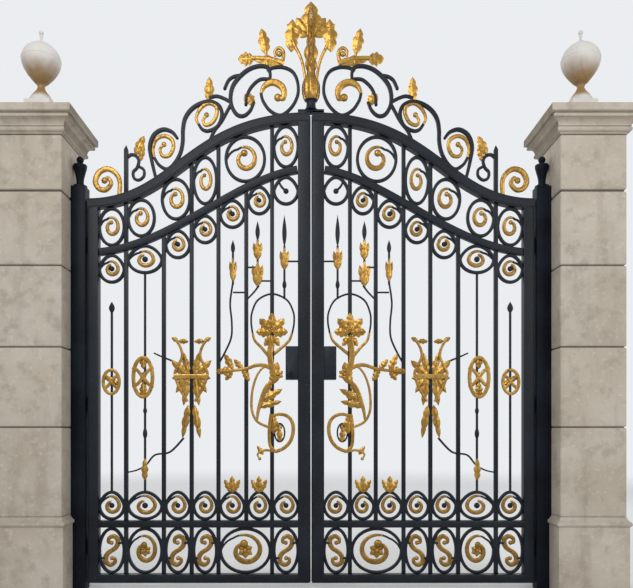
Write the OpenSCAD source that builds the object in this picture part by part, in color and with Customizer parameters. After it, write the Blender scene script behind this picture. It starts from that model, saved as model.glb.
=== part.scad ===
// Wrought iron driveway gate: two leaves with an ogee head, hung between stone piers.
// The street lies towards -Y, and the leaves open away from it, towards +Y.
// The origin is the middle of the left pier's foot, on the ground.

/* [Opening] */
// Clear width between the two stone piers
opening_w = 3600; // [3500:10:3700]
// Gap between the closed leaves where they meet
meet_gap = 14; // [14:1:22]
// Gap between each leaf and the post that carries it
hinge_gap = 12; // [10:1:16]
// Gap between the ground and the leaves
ground_gap = 50; // [40:1:70]

/* [Head of the gate] */
// Height of the top rail beside the posts
side_h = 2943; // [2880:1:3000]
// Height of the top rail where the leaves meet
crown_h = 3590; // [3540:1:3640]
// Drop from the top rail to the second arched rail, beside the posts
drop_side = 375; // [350:1:400]
// Drop from the top rail to the second arched rail, where the leaves meet
drop_crown = 390; // [360:1:420]

/* [Frame of a leaf] */
// Width of the stile that hangs on the post
hanging_w = 80; // [70:1:90]
// Width of the stile where the leaves meet
meeting_w = 92; // [80:1:100]
// Depth of the stiles and of the straight and top rails
frame_d = 75; // [65:1:85]
// Thickness of the top rail
top_rail_t = 74; // [66:1:82]
// Thickness of the second arched rail
arch_rail_t = 54; // [46:1:62]
// Depth of the second arched rail
arch_rail_d = 50; // [44:1:60]
// Height of the bottom rail
bottom_rail_t = 62; // [54:1:70]
// Height above the ground of the middle rail's underside
mid_rail_z = 466; // [440:1:500]
// Height of the middle rail
mid_rail_t = 50; // [44:1:58]
/* [Infill] */
// Side of the square bars
bar_w = 30; // [26:1:34]
// Side of the slim bars between them
slim_w = 16; // [14:1:20]
// Thickness of the scroll iron, seen from the street
scroll_t = 24; // [21:1:26]
// Depth of the scroll iron
scroll_d = 28; // [24:1:32]
// Thickness of the great scrolls of the cresting, at their fullest
great_t = 31; // [28:1:33]
// Height of the rings at the head and foot of the bars
ring_h = 226; // [200:1:240]
// Depth of the gilded leaves
gilt_d = 18; // [15:1:20]
// Height of the middle of the foliage band
band_z = 1620; // [1600:1:1640]

/* [Cresting and finial] */
// Height of the great scrolls above the top rail
cresting_h = 403; // [385:1:415]
// Height of the finial above the top rail
finial_h = 847; // [820:1:880]
// Depth of the finial's leaves
finial_leaf_d = 30; // [24:1:36]

/* [Piers] */
// Side of the square stone shaft
pier_w = 480; // [460:1:500]
// Height of the plinth, to the top of its slope
plinth_h = 570; // [540:1:600]
// Height of the shaft's top
shaft_h = 3336; // [3280:1:3400]
// How far the cap stands out from the shaft
cap_out = 90; // [80:1:100]
// Width of the stone urn
urn_w = 286; // [260:1:310]

/* [Iron posts and hinges] */
// Side of the square iron post
post_w = 108; // [100:1:116]
// Height of the iron post, without its finial
post_h = 3030; // [2980:1:3080]
// Radius of the hinge pins
pin_r = 9; // [8:0.5:11]
// Radius of the hinge knuckles
knuckle_r = 18; // [16:0.5:20]
// Running clearance round the hinge pins
pin_fit = 0.3; // [0.2:0.05:0.5]

/* [Hidden] */
iron = "#20272f";
gilt = "#ad8a45";
stone = "#b9ae9d";
$fn = 48;

half = opening_w / 2;
pier_x = half + pier_w / 2;
post_in = half - post_w;
stile_out = post_in - hinge_gap;
stile_in = stile_out - hanging_w;
meet_in = meet_gap / 2;
meet_out = meet_in + meeting_w;
leaf_w = stile_out - meet_in;
clear_w = stile_in - meet_out;
mid_top = mid_rail_z + mid_rail_t;
base_z = ground_gap + bottom_rail_t;
sky = 2 * crown_h;

// Bars, as shares of the clear width from the meeting stile outwards
bar_share = [0.13, 0.26, 0.4, 0.535, 0.675, 0.865];
bar_x = [for (s = bar_share) meet_out + s * clear_w];
// Panel edges: the bars and both stiles, each as the middle line of a bar
edge = concat([meet_out - bar_w / 2], bar_x, [stile_in + bar_w / 2]);
// Bars that run on through the head, and those that run on below the middle rail
head_bars = [0, 2, 3, 5];
base_bars = [0, 2, 3, 4, 5];
head_edge = concat([edge[0]], [for (i = head_bars) bar_x[i]], [edge[7]]);
base_edge = concat([edge[0]], [for (i = base_bars) bar_x[i]], [edge[7]]);
// The bar beside the hanging stile stands up above the top rail as a pointed spike
spike_h = 410;
spike_tip = 36;

// Hinge line, and the heights of the three hinges
hinge_back = 24;
axis_x = post_in - hinge_gap / 2;
axis_y = post_w / 2 + hinge_back;
hinge_z = [300, 1390, 2620];
knuckle_h = 40;
knuckle_gap = 1;
flange_t = 10;
flange_h = 150;

// Top rail and second arched rail, each an ogee from the hanging to the meeting stile
top_curve = [
  [stile_out, side_h],
  [stile_out - 0.39 * leaf_w, side_h],
  [meet_in + 0.56 * leaf_w, crown_h],
  [meet_in, crown_h]
];
arch_curve = [
  [stile_out, side_h - drop_side],
  [stile_out - 0.36 * leaf_w, side_h - drop_side],
  [meet_in + 0.31 * leaf_w, crown_h - drop_crown],
  [meet_in, crown_h - drop_crown]
];
curve_steps = 28;

function bezier(p, t) =
  pow(1 - t, 3) * p[0] + 3 * pow(1 - t, 2) * t * p[1] + 3 * (1 - t) * t * t * p[2] + pow(t, 3) * p[3];
function bezier_dir(p, t) =
  pow(1 - t, 2) * (p[1] - p[0]) + 2 * (1 - t) * t * (p[2] - p[1]) + t * t * (p[3] - p[2]);
function unit(v) = v / norm(v);
function left_of(v) = [-v[1], v[0]];
// A line at the given depth under a rail's upper edge
function under(p, depth, t) = bezier(p, t) + depth * left_of(unit(bezier_dir(p, t)));
function under_line(p, depth) = [for (i = [0:curve_steps]) under(p, depth, i / curve_steps)];
// The height of that line at a place x along the leaf, by halving
function find_t(p, depth, x, lo = 0, hi = 1, n = 16) =
  n == 0 ? (lo + hi) / 2
  : under(p, depth, (lo + hi) / 2)[0] > x ? find_t(p, depth, x, (lo + hi) / 2, hi, n - 1)
  : find_t(p, depth, x, lo, (lo + hi) / 2, n - 1);
function height(p, depth, x) = under(p, depth, find_t(p, depth, x))[1];

function reverse(v) = [for (i = [len(v) - 1:-1:0]) v[i]];
function flip(v) = [for (p = v) [-p[0], p[1]]];

// Smooth curve through hand-set points
function knot(p0, p1, p2, p3, t) =
  0.5 * (2 * p1 + (p2 - p0) * t + (2 * p0 - 5 * p1 + 4 * p2 - p3) * t * t
  + (3 * p1 - p0 - 3 * p2 + p3) * t * t * t);
function smooth(v, n = 3) = concat([
  for (i = [0:len(v) - 2])
    for (j = [0:n - 1])
      knot(v[max(i - 1, 0)], v[i], v[i + 1], v[min(i + 2, len(v) - 1)], j / n)
], [v[len(v) - 1]]);

// Flat bar bent along a line, w0 thick at its start and w1 at its end, fuller between by the swell,
// which may close in a round eye
function heading(v, i) = unit(v[min(i + 1, len(v) - 1)] - v[max(i - 1, 0)]);
function edge_line(v, w0, w1, swell, side) =
  [for (i = [0:len(v) - 1])
    let (t = i / (len(v) - 1))
    v[i] + side * (w0 + (w1 - w0) * t + swell * sin(180 * t)) / 2 * left_of(heading(v, i))];
// The eye is a disc about the line's end; points of the line inside it are left out
function outside(v, r) = [for (p = v) if (norm(p - v[len(v) - 1]) > 0.75 * r) p];
function eye_line(c, d, r) =
  let (a0 = atan2(d[1], d[0]))
  [for (a = [140:-20:-140]) c + r * [cos(a0 + a), sin(a0 + a)]];
module ribbon(v, w0, w1, eye = 0, swell = 0) {
  tip = v[len(v) - 1];
  line = eye == 0 ? v : outside(v, eye);
  disc = eye == 0 ? [] : eye_line(tip, tip - line[len(line) - 1], eye);
  polygon(concat(
    edge_line(line, w0, w1, swell, 1), disc, reverse(edge_line(line, w0, w1, swell, -1))
  ));
}

// Ring outline: an ellipse whose upper half narrows by the share peak
function oval(hw, hh, peak, step = 15) =
  [for (a = [0:step:359]) [hw * sin(a) * (1 - peak * max(0, cos(a))), hh * cos(a)]];
module ring(hw, hh, peak = 0, t = scroll_t) {
  difference() {
    polygon(oval(hw, hh, peak));
    polygon(oval(hw - t, hh - t, peak));
  }
}
// Curl inside a ring: it leaves the ring on the side of the post, turns over the top and winds in.
// Its size is a share of the ring's, over its neck and then down to its eye, and it is rounder.
curl_from = 100;
curl_turn = 450;
curl_neck = 0.13;
curl_share = [1.03, 0.5, 0.14];
curl_round = 1.5;
curl_w = 15;
gilt_from = 0.18;
function curl_size(t) =
  t < curl_neck ? curl_share[0] + (curl_share[1] - curl_share[0]) * t / curl_neck
  : curl_share[1] + (curl_share[2] - curl_share[1]) * (t - curl_neck) / (1 - curl_neck);
function curl_line(hw, hh, peak, t0, t1, n) =
  [for (i = [0:n])
    let (t = t0 + (t1 - t0) * i / n, a = curl_from - curl_turn * t, k = curl_size(t))
    let (rx = k * (hw - scroll_t / 2), rz = rx + pow(k, curl_round) * (hh - hw))
    [rx * sin(a) * (1 - peak * k * max(0, cos(a))), rz * cos(a)]];
module iron_curl(hw, hh, peak = 0) {
  ribbon(curl_line(hw, hh, peak, 0, gilt_from + 0.02, 5), curl_w, curl_w);
}
// The gilded part of the curl, full in the middle and closed by a round eye
module gilt_curl(hw, hh, peak = 0) {
  size = min(hw, hh) - scroll_t;
  difference() {
    ribbon(curl_line(hw, hh, peak, gilt_from, 1, 16), curl_w - 2, curl_w, 0.22 * size, 0.1 * size);
    iron_curl(hw, hh, peak);
  }
}
// S-scroll of the narrow rings at the gate's foot: one half from its middle to its eye, and the
// two collars that hold it to its ring
s_half = smooth([[8, -5], [-26, 18], [-46, 52], [-41, 90], [-8, 108], [22, 90], [24, 62], [2, 58]], 2);
module collars(hw) {
  for (k = [0, 180]) rotate(k) ribbon([[10 - hw, 57], [-48, 57]], 14, 14);
}
module s_scroll(hw) {
  difference() {
    for (k = [0, 180]) rotate(k) ribbon(s_half, 20, 13, 12, 4);
    collars(hw);
  }
}

// Pointed leaf from the origin along +Y, its edges cut into lobes
lobe_cut = 0.22;
function blade_edge(len, w, lobes) =
  let (n = lobes == 0 ? 6 : 4 * lobes)
  [for (i = [1:n - 1])
    let (t = i / n, cut = lobes == 0 ? 0 : lobe_cut * (1 - abs(sin(180 * lobes * t))))
    [w / 2 * pow(sin(180 * pow(t, 0.8)), lobes == 0 ? 1 : 0.7) * (1 - cut), len * t]];
function blade(len, w, lobes = 0) =
  concat([[0, 0]], blade_edge(len, w, lobes), [[0, len]], reverse(flip(blade_edge(len, w, lobes))));
module leaf(foot, tip, w, lobes = 0) {
  v = tip - foot;
  translate(foot) rotate(atan2(v[1], v[0]) - 90) polygon(blade(norm(v), w, lobes));
}
// The vein that stands up along such a leaf
vein_out = 5;
module vein(foot, tip, w) {
  leaf(foot + 0.12 * (tip - foot), foot + 0.9 * (tip - foot), 0.22 * w);
}
// Lobed rosette, seen from the front
function rosette(r, lobes, step = 10) =
  [for (a = [0:step:359]) r * (0.78 + 0.22 * abs(sin(lobes / 2 * a))) * [cos(a), sin(a)]];

// A flat outline stood up in the plane of the gate, d deep about the depth y
module upright(d, y = 0) {
  translate([0, y + d / 2, 0]) rotate([90, 0, 0]) linear_extrude(d) children();
}
// The left (-1) or right (1) half, drawn to the right of the gate's middle
module half_gate(s) {
  translate([pier_x, 0, 0])
    if (s < 0) mirror([1, 0, 0]) children();
    else children();
}

// Openings of a leaf, as outlines
module between(x0, x1, z0, z1) {
  translate([x0, z0]) square([x1 - x0, z1 - z0]);
}
module below_line(line) {
  polygon(concat(line, [[meet_in, 0], [stile_out, 0]]));
}
module above_line(line) {
  polygon(concat(line, [[meet_in, sky], [stile_out, sky]]));
}
module head_opening() {
  intersection() {
    below_line(under_line(top_curve, top_rail_t));
    above_line(under_line(arch_curve, 0));
    between(meet_out, stile_in, 0, sky);
  }
}
module main_opening() {
  intersection() {
    below_line(under_line(arch_curve, arch_rail_t));
    between(meet_out, stile_in, mid_top, sky);
  }
}
module base_opening() {
  between(meet_out, stile_in, base_z, mid_rail_z);
}
module bar_lines(places) {
  for (i = places)
    translate([bar_x[i] - bar_w / 2, 0]) square([bar_w, sky]);
}

// Rings of the head, one between each two bars and an S-shaped pair in the widest bay
function head_mid(x) = (height(top_curve, top_rail_t, x) + height(arch_curve, 0, x)) / 2;
function head_gap(x) = height(top_curve, top_rail_t, x) - height(arch_curve, 0, x);
function head_tilt(x) = atan2(head_mid(x - 20) - head_mid(x + 20), 40);
// Half height at which an oval of half width hw just touches both rails
function head_half(x, hw) =
  let (s = head_tilt(x), p = head_gap(x) * cos(s) / 2 + 1)
  sqrt(max(p * p - pow(hw * sin(s), 2), 1)) / cos(s);
// The bays of the head: middle and half width of each ring, which is let into the bars beside it
let_in = 12;
function bay(x0, x1) = [(x0 + x1) / 2, (x1 - x0 - bar_w) / 2 + let_in];
bay_split = (head_edge[3] + head_edge[4]) / 2 - 10;
wide_ring = 158;
bays = [
  bay(head_edge[0], head_edge[1]),
  [(head_edge[1] + head_edge[2]) / 2, wide_ring],
  bay(head_edge[2], head_edge[3]),
  bay(head_edge[3], bay_split),
  bay(bay_split + bar_w, head_edge[4]),
  bay(head_edge[4], head_edge[5])
];

ring_peak = 0.22;
function row_x(i) = (edge[i] + edge[i + 1]) / 2;
function row_half(i) = bay(edge[i], edge[i + 1])[1];
function upper_ring_z(i) = height(arch_curve, arch_rail_t, row_x(i)) - ring_h / 2 + 2;
lower_ring_z = mid_top + ring_h / 2;
base_half = (mid_rail_z - base_z) / 2;
function base_x(i) = (base_edge[i] + base_edge[i + 1]) / 2;
function base_hw(i) = bay(base_edge[i], base_edge[i + 1])[1];
// Rings of the foot up to this half width hold an S-scroll, and the wider ones a curl
narrow_hw = 120;

// Stone piers

// A square moulding: the half profile [half width, height] run round four sides
module square_moulding(profile, reach) {
  outline = concat(profile, reverse(flip(profile)));
  intersection() {
    upright(2 * reach) polygon(outline);
    rotate([0, 0, 90]) upright(2 * reach) polygon(outline);
  }
}
plinth_out = 16;
plinth_roll = 30;
plinth_face_h = plinth_h - 70;
roll_r = 16;
module pier_plinth() {
  w = pier_w / 2;
  profile = concat(
    [[w + plinth_out, 0], [w + plinth_out, plinth_face_h]],
    [for (a = [-60:30:60])
      [w + plinth_roll - roll_r + roll_r * cos(a), plinth_face_h + 20 + (roll_r + 2) * sin(a)]],
    [[w, plinth_h]]
  );
  color(stone) difference() {
    translate([pier_x, 0, 0]) square_moulding(profile, w + plinth_roll);
    post_body();
  }
}
module pier_shaft() {
  color(stone) translate([pier_x - pier_w / 2, -pier_w / 2, plinth_h])
    cube([pier_w, pier_w, shaft_h - plinth_h]);
}
// Heights of the cap's members above the shaft
cap_fillet = 10;
cap_roll = 40;
cap_cove = 50;
cap_fascia = 32;
cap_slab = 58;
cap_slope = 60;
pedestal_w = 190;
module pier_cap() {
  w = pier_w / 2;
  lip = w + cap_out;
  roll = cap_roll / 2;
  z0 = shaft_h + cap_fillet;
  z1 = z0 + cap_roll;
  z2 = z1 + cap_cove;
  z3 = z2 + cap_fascia;
  z4 = z3 + cap_slab;
  profile = concat(
    [[w, shaft_h], [w + 8, shaft_h], [w + 8, z0]],
    [for (a = [-75:30:75]) [w + 10 + roll * cos(a), z0 + roll + roll * sin(a)]],
    [for (a = [0:18:90]) [lip - 20 - 46 * cos(a), z1 + cap_cove * sin(a)]],
    [[lip - 18, z2 + 18], [lip - 28, z2 + 20], [lip - 28, z3], [lip - 4, z3], [lip, z3 + 4]],
    [[lip, z4 - 6], [lip - 6, z4], [pedestal_w / 2, z4 + cap_slope]]
  );
  color(stone) translate([pier_x, 0, 0]) square_moulding(profile, lip);
}
cap_top = shaft_h + cap_fillet + cap_roll + cap_cove + cap_fascia + cap_slab + cap_slope;
// Urn with a domed lid and knob, on a square foot block; its outline is in shares of its half width
foot_block = 80;
knob_r = 26;
urn_shape = [
  [0.6, 0], [0.6, 0.18], [0.52, 0.32], [0.42, 0.46], [0.31, 0.6], [0.22, 0.75], [0.19, 0.88],
  [0.24, 1], [0.37, 1.11], [0.53, 1.3], [0.69, 1.5], [0.81, 1.69], [0.91, 1.88], [0.98, 2.08],
  [1, 2.3], [0.975, 2.5], [0.9, 2.7], [0.78, 2.88], [0.62, 3.05], [0.43, 3.2], [0.26, 3.33],
  [0.15, 3.44], [0.11, 3.54]
];
module pier_urn() {
  r = urn_w / 2;
  urn_h = urn_shape[len(urn_shape) - 1][1] * r;
  color(stone) translate([pier_x, 0, cap_top]) {
    translate([-pedestal_w / 2, -pedestal_w / 2, 0]) cube([pedestal_w, pedestal_w, foot_block]);
    translate([0, 0, foot_block])
      rotate_extrude() polygon(concat([[0, 0]], smooth(r * urn_shape, 2), [[0, urn_h]]));
    translate([0, 0, foot_block + urn_h + knob_r - 4]) sphere(r = knob_r);
  }
}

// Iron posts with the fixed half of the hinges

module post_body() {
  translate([post_in, -post_w / 2, 0]) cube([post_w, post_w, post_h]);
}
// Turned head of the post; its outline is in shares of the post's half width
post_head = [
  [0.96, 0], [0.96, 0.26], [0.62, 0.37], [0.5, 0.81], [0.62, 1.63], [0.86, 2.5], [0.94, 2.92],
  [0.9, 3.2], [0.5, 3.34], [0.34, 3.52]
];
post_ball_r = 27;
module iron_post() {
  u = post_w / 2;
  head_h = post_head[len(post_head) - 1][1] * u;
  color(iron) {
    post_body();
    translate([post_in + u, 0, post_h]) {
      rotate_extrude() polygon(concat([[0, 0]], smooth(u * post_head, 2), [[0, head_h]]));
      translate([0, 0, head_h + 0.75 * post_ball_r]) sphere(r = post_ball_r);
    }
    for (z = hinge_z) fixed_hinge(z);
  }
}
// Room between a hinge plate and the plinth beside it
plate_gap = 4;
module fixed_hinge(z) {
  plate_x = axis_x + knuckle_r + 8;
  translate([plate_x, post_w / 2, z - flange_h / 2])
    cube([half - plinth_out - plate_gap - plate_x, flange_t, flange_h]);
  for (k = [-1, 1])
    translate([0, 0, z + k * knuckle_h - knuckle_h / 2]) {
      translate([axis_x, axis_y, 0]) cylinder(r = knuckle_r, h = knuckle_h);
      translate([axis_x, post_w / 2, 0]) cube([knuckle_r + 12, hinge_back, knuckle_h]);
    }
  translate([axis_x, axis_y, z - knuckle_h]) cylinder(r = pin_r, h = 2 * knuckle_h);
}

// Frame of a leaf

module leaf_hinges() {
  arm_w = knuckle_r - hinge_gap / 2;
  h = knuckle_h - 2 * knuckle_gap;
  color(iron) for (z = hinge_z)
    difference() {
      union() {
        translate([stile_in + 8, frame_d / 2, z - flange_h / 2])
          cube([hanging_w - 8, flange_t, flange_h]);
        translate([stile_out - arm_w, frame_d / 2, z - h / 2]) cube([arm_w, axis_y - frame_d / 2, h]);
        translate([axis_x, axis_y, z - h / 2]) cylinder(r = knuckle_r, h = h);
      }
      translate([axis_x, axis_y, z - flange_h]) cylinder(r = pin_r + pin_fit, h = 2 * flange_h);
    }
}
module hanging_stile() {
  color(iron) upright(frame_d) intersection() {
    between(stile_in, stile_out, ground_gap, sky);
    below_line(under_line(top_curve, top_rail_t));
  }
}
module meeting_stile() {
  color(iron) upright(frame_d) intersection() {
    between(meet_in, meet_out, ground_gap, sky);
    below_line(under_line(top_curve, top_rail_t));
  }
}
module top_rail() {
  color(iron) upright(frame_d)
    polygon(concat(under_line(top_curve, 0), reverse(under_line(top_curve, top_rail_t))));
}
module arch_rail() {
  color(iron) upright(arch_rail_d) intersection() {
    polygon(concat(under_line(arch_curve, 0), reverse(under_line(arch_curve, arch_rail_t))));
    between(meet_out, stile_in, 0, sky);
  }
}
module mid_rail() {
  color(iron) upright(frame_d) between(meet_out, stile_in, mid_rail_z, mid_top);
}
module bottom_rail() {
  color(iron) upright(frame_d) between(meet_out, stile_in, ground_gap, base_z);
}

// Infill of a leaf

// The bar that stands up as a spike beside the hanging stile
module spike_line() {
  w = bar_w / 2;
  top = side_h + spike_h;
  translate([bar_x[5], 0]) polygon([[-w, 0], [w, 0], [w, top - spike_tip], [0, top], [-w, top - spike_tip]]);
}
module bars() {
  color(iron) upright(bar_w) {
    intersection() {
      bar_lines([0:5]);
      main_opening();
    }
    intersection() {
      bar_lines(head_bars);
      head_opening();
    }
    intersection() {
      bar_lines(base_bars);
      base_opening();
    }
    intersection() {
      spike_line();
      above_line(under_line(top_curve, 0));
    }
  }
}
module head_rings() {
  color(iron) upright(scroll_d) intersection() {
    difference() {
      for (b = bays) translate([b[0], head_mid(b[0])]) {
        ring(b[1], head_half(b[0], b[1]));
        iron_curl(b[1], head_half(b[0], b[1]));
      }
      bar_lines(head_bars);
    }
    head_opening();
  }
}
module ring_rows() {
  color(iron) upright(scroll_d) intersection() {
    difference() {
      for (i = [0:6])
        for (z = [upper_ring_z(i), lower_ring_z])
          translate([row_x(i), z]) {
            ring(row_half(i), ring_h / 2, ring_peak);
            iron_curl(row_half(i), ring_h / 2, ring_peak);
          }
      bar_lines([0:5]);
    }
    main_opening();
  }
}
module base_rings() {
  color(iron) upright(scroll_d) intersection() {
    difference() {
      for (i = [0:5]) translate([base_x(i), base_z + base_half]) {
        ring(base_hw(i), base_half);
        if (base_hw(i) > narrow_hw) iron_curl(base_hw(i), base_half);
        else collars(base_hw(i));
      }
      bar_lines(base_bars);
    }
    base_opening();
  }
}
module gilt_curls() {
  color(gilt) upright(scroll_d) {
    for (b = bays) translate([b[0], head_mid(b[0])]) gilt_curl(b[1], head_half(b[0], b[1]));
    for (i = [0:6])
      for (z = [upper_ring_z(i), lower_ring_z])
        translate([row_x(i), z]) gilt_curl(row_half(i), ring_h / 2, ring_peak);
    for (i = [0:5]) translate([base_x(i), base_z + base_half])
      if (base_hw(i) > narrow_hw) gilt_curl(base_hw(i), base_half);
      else s_scroll(base_hw(i));
  }
}

// Slim ironwork between the bars: spears, the loop about the palmette, tendrils and beads.
// Points are set out from the foliage band's height, and across from the bar or bay they belong to.
function at(x, v) = [for (p = v) [x + p[0], band_z + p[1]]];
spear_w = 44;
// The spears and links above the band are set out for this room under the ring over the first bay,
// and move up and down with it
drawn_room = 1274.7;
lift = (height(arch_curve, arch_rail_t, row_x(0)) - ring_h - band_z) / drawn_room;
module spear(x, z0, z1, point = 90, w = spear_w) {
  translate([x - slim_w / 2, band_z + z0]) square([slim_w, z1 - point - z0 + 10]);
  translate([x, band_z + z1 - point]) polygon(blade(point, w));
}
module bead(x, z, w, h) {
  translate([x, band_z + z - h / 2]) polygon(blade(h, w));
}
spear_x = [row_x(0) + 12, row_x(1) + 12, row_x(2) - 4];
loop_line = smooth(at(bar_x[0], [
  [-150, 305], [-166, 390], [-160, 473], [-110, 565], [0, 609], [105, 565], [151, 473], [158, 390], [146, 305]
]), 3);
rise_line = smooth(at(bar_x[2], [
  [0, 80], [-50, 170 * lift], [-96, 280 * lift], [-100, 400 * lift], [-88, 540 * lift], [-108, 690 * lift]
]), 3);
upper_tendril = smooth(at(bar_x[4], [[-90, 90], [-40, 112], [15, 134], [76, 162]]), 2);
lower_tendril = smooth(at(bar_x[4], [
  [-150, -480], [-46, -586], [68, -609], [136, -685], [204, -723], [276, -740]
]), 2);
bay_link = smooth(at(bar_x[1], [[-95, 672 * lift], [-60, 625 * lift], [-8, 570 * lift]]), 2);
module link(x0, x1, z) {
  between(x0, x1, band_z + z - 6, band_z + z + 6);
}
module slim_outline() {
  low = mid_top + ring_h - band_z;
  spear(row_x(6), low, 550);
  between(row_x(5) - slim_w / 2, row_x(5) + slim_w / 2, mid_top + ring_h, upper_ring_z(5) - ring_h / 2);
  bead(row_x(5), -270, 30, 70);
  bead(row_x(5), -440, 34, 110);
  spear(spear_x[0], 570 * lift, 1206 * lift, 242, 34);
  bead(spear_x[0], 685 * lift, 32, 91);
  link(meet_out, spear_x[0], 855 * lift);
  spear(spear_x[1], 654 * lift, 1160 * lift, 150, 34);
  link(bar_x[0], spear_x[1], 707 * lift);
  link(spear_x[1], bar_x[1], 810 * lift);
  spear(spear_x[2], 680 * lift, 1017 * lift, 110, 32);
  link(bar_x[1], spear_x[2], 620 * lift);
  ribbon(loop_line, 14, 14);
  ribbon(rise_line, 14, 14);
  ribbon(bay_link, 14, 12);
  ribbon(upper_tendril, 16, 12);
  ribbon(lower_tendril, 16, 12);
  translate([bar_x[0] - 57, band_z - 440]) ring(44, 75, 0, 12);
}
module slim_bars() {
  color(iron) upright(slim_w) difference() {
    slim_outline();
    bar_lines([0:5]);
  }
}

// Gilded husk of three leaves, and the paired husks that close round a spear
module husk(x, z, w, h) {
  foot = [x, band_z + z];
  for (k = [-1, 1]) leaf(foot, foot + [0.36 * w * k, 0.86 * h], 0.5 * w, 2);
  leaf(foot, foot + [0, h], 0.5 * w, 2);
}
husk_d = 34;
// Leaves of the foliage: foot, tip and width, from the bar or bay they lie on
petal_z = 348;
palmette = concat(
  [for (a = [-100, -50, 0, 50, 100]) [[0, petal_z - 30], [0, petal_z - 8] + 122 * [sin(a), cos(a)], 86]],
  [[[0, 290], [-58, 214], 60], [[0, 290], [58, 214], 60], [[4, 300], [6, 150], 54]]
);
spray = [
  [[286, 28], [408, 20], 74], [[296, 34], [356, 152], 60], [[222, 38], [286, 112], 52],
  [[222, 44], [170, -52], 56], [[300, 26], [350, -46], 52], [[-4, -78], [-42, 92], 92]
];
lower_leaves = [
  [[88, -206], [-78, -112], 66], [[100, -246], [-72, -204], 56], [[60, -150], [-6, -34], 56],
  [[-14, -452], [-8, -304], 84], [[-62, -514], [-52, -392], 50], [[66, -606], [112, -540], 40]
];
acanthus = [
  [[10, -30], [52, 290], 92], [[12, -40], [146, 118], 84], [[14, -10], [138, -28], 70],
  [[12, 40], [62, -250], 96], [[14, 60], [112, -148], 70], [[16, -230], [60, -490], 62]
];
function both(list) = [for (k = [-1, 1]) for (l = list) [[k * l[0][0], l[0][1]], [k * l[1][0], l[1][1]], l[2]]];
// Bands of the foliage: points, both widths, swell and eye
stem_line = smooth([[4, 262], [14, 190], [14, 120], [2, 60], [-14, 0]], 2);
spray_line = smooth([[0, 40], [60, 66], [120, 66], [190, 42], [290, 28], [386, 22]], 2);
inner_strand = smooth([[0, -60], [40, -96], [64, -150], [84, -210], [104, -280], [112, -350]], 2);
outer_strand = smooth([
  [16, 70], [70, 46], [112, -10], [142, -100], [154, -200], [146, -290], [106, -360], [28, -398]
], 2);
drop_left = smooth([
  [10, -322], [-50, -302], [-112, -314], [-152, -360], [-160, -430], [-138, -505], [-88, -558], [-24, -584]
], 2);
drop_right = smooth([[4, -300], [16, -380], [20, -470], [10, -545], [-36, -586]], 2);
tail_curl = smooth([[-24, -585], [34, -572], [84, -582], [108, -606], [92, -636]], 2);
arm_left = smooth([[-150, 312], [-128, 256], [-66, 198], [20, 128]], 2);
arm_right = smooth([[146, 312], [130, 256], [76, 198], [18, 128]], 2);
lyre_line = smooth([[18, 276], [54, 190], [102, 96], [118, 0], [72, -110], [24, -200]], 2);
wreath = [[[0, -170], [0, -60], 62], [[0, -70], [0, 20], 48], [[0, 140], [0, 40], 58]];
wreath_tie = smooth([[-80, 72], [-44, 54], [0, 0], [44, -54], [80, -72]], 2);
wreath_out = 12;
roundel = [[[-52, -80], [40, -10], 44], [[-10, -50], [52, -28], 34]];
roundel_tie = smooth([[-62, 52], [-34, 38], [0, 0], [34, -38], [62, -52]], 2);
slim_husk = [[[0, -800], [0, -635], 56]];
// Plumes that stand on the lower rings of the second and third bays
plume = [[[0, -20], [0, 112], 62], [[-6, -12], [-58, 84], 48], [[6, -12], [58, 84], 48]];
plumed_bays = [1, 2];
module all_leaves(list, x, z = band_z) {
  for (l = list) leaf([x, z] + l[0], [x, z] + l[1], l[2], 3);
}
module all_veins(list, x, z = band_z) {
  for (l = list) vein([x, z] + l[0], [x, z] + l[1], l[2]);
}
// A plate of leaves lying on a face at the depth y, with veins standing up from it
module on_face(y) {
  upright(gilt_d, y - gilt_d / 2) children(0);
  upright(gilt_d + vein_out, y - (gilt_d + vein_out) / 2) children(1);
}
module band_plate() {
  all_leaves(palmette, bar_x[0]);
  all_leaves(spray, bar_x[0]);
  all_leaves(lower_leaves, bar_x[0]);
  all_leaves(both(acanthus), bar_x[3]);
  translate([bar_x[0], band_z]) {
    ribbon(stem_line, 38, 46);
    ribbon(spray_line, 32, 20);
    ribbon(inner_strand, 28, 14, 0, 14);
    ribbon(outer_strand, 14, 20, 0, 2);
    ribbon(drop_left, 22, 26, 0, 4);
    ribbon(drop_right, 30, 22);
    ribbon(tail_curl, 18, 12, 12, 4);
    translate([-44, 0]) polygon(rosette(46, 6));
    translate([400, 22]) polygon(rosette(24, 4));
  }
  translate([bar_x[3], band_z]) {
    for (k = [0, 1]) mirror([k, 0]) ribbon(lyre_line, 16, 18, 0, 4);
    translate([-128, -38]) square([256, 40]);
    translate([-66, 234]) square([132, 38]);
  }
}
module band_raised() {
  all_veins(palmette, bar_x[0]);
  all_veins(spray, bar_x[0]);
  all_veins(lower_leaves, bar_x[0]);
  all_veins(both(acanthus), bar_x[3]);
  translate([bar_x[0] - 44, band_z]) polygon(rosette(18, 6));
  translate([bar_x[0], band_z + petal_z - 8]) polygon(rosette(30, 6));
}
module knot_plate() {
  x5 = row_x(5) + wreath_out;
  x6 = row_x(6);
  translate([x5, band_z - 22]) {
    ring(86, 162, 0, 28);
    for (k = [0, 1]) mirror([k, 0]) ribbon(wreath_tie, 22, 22, 0, 4);
  }
  all_leaves(wreath, x5);
  translate([x6, band_z - 57]) {
    ring(72, 102, 0, 24);
    for (k = [0, 1]) mirror([k, 0]) ribbon(roundel_tie, 20, 20, 0, 4);
  }
  all_leaves(roundel, x6);
  all_leaves(slim_husk, row_x(5));
}
module knot_raised() {
  all_veins(wreath, row_x(5) + wreath_out);
  all_veins(roundel, row_x(6));
  all_veins(slim_husk, row_x(5));
}
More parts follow.
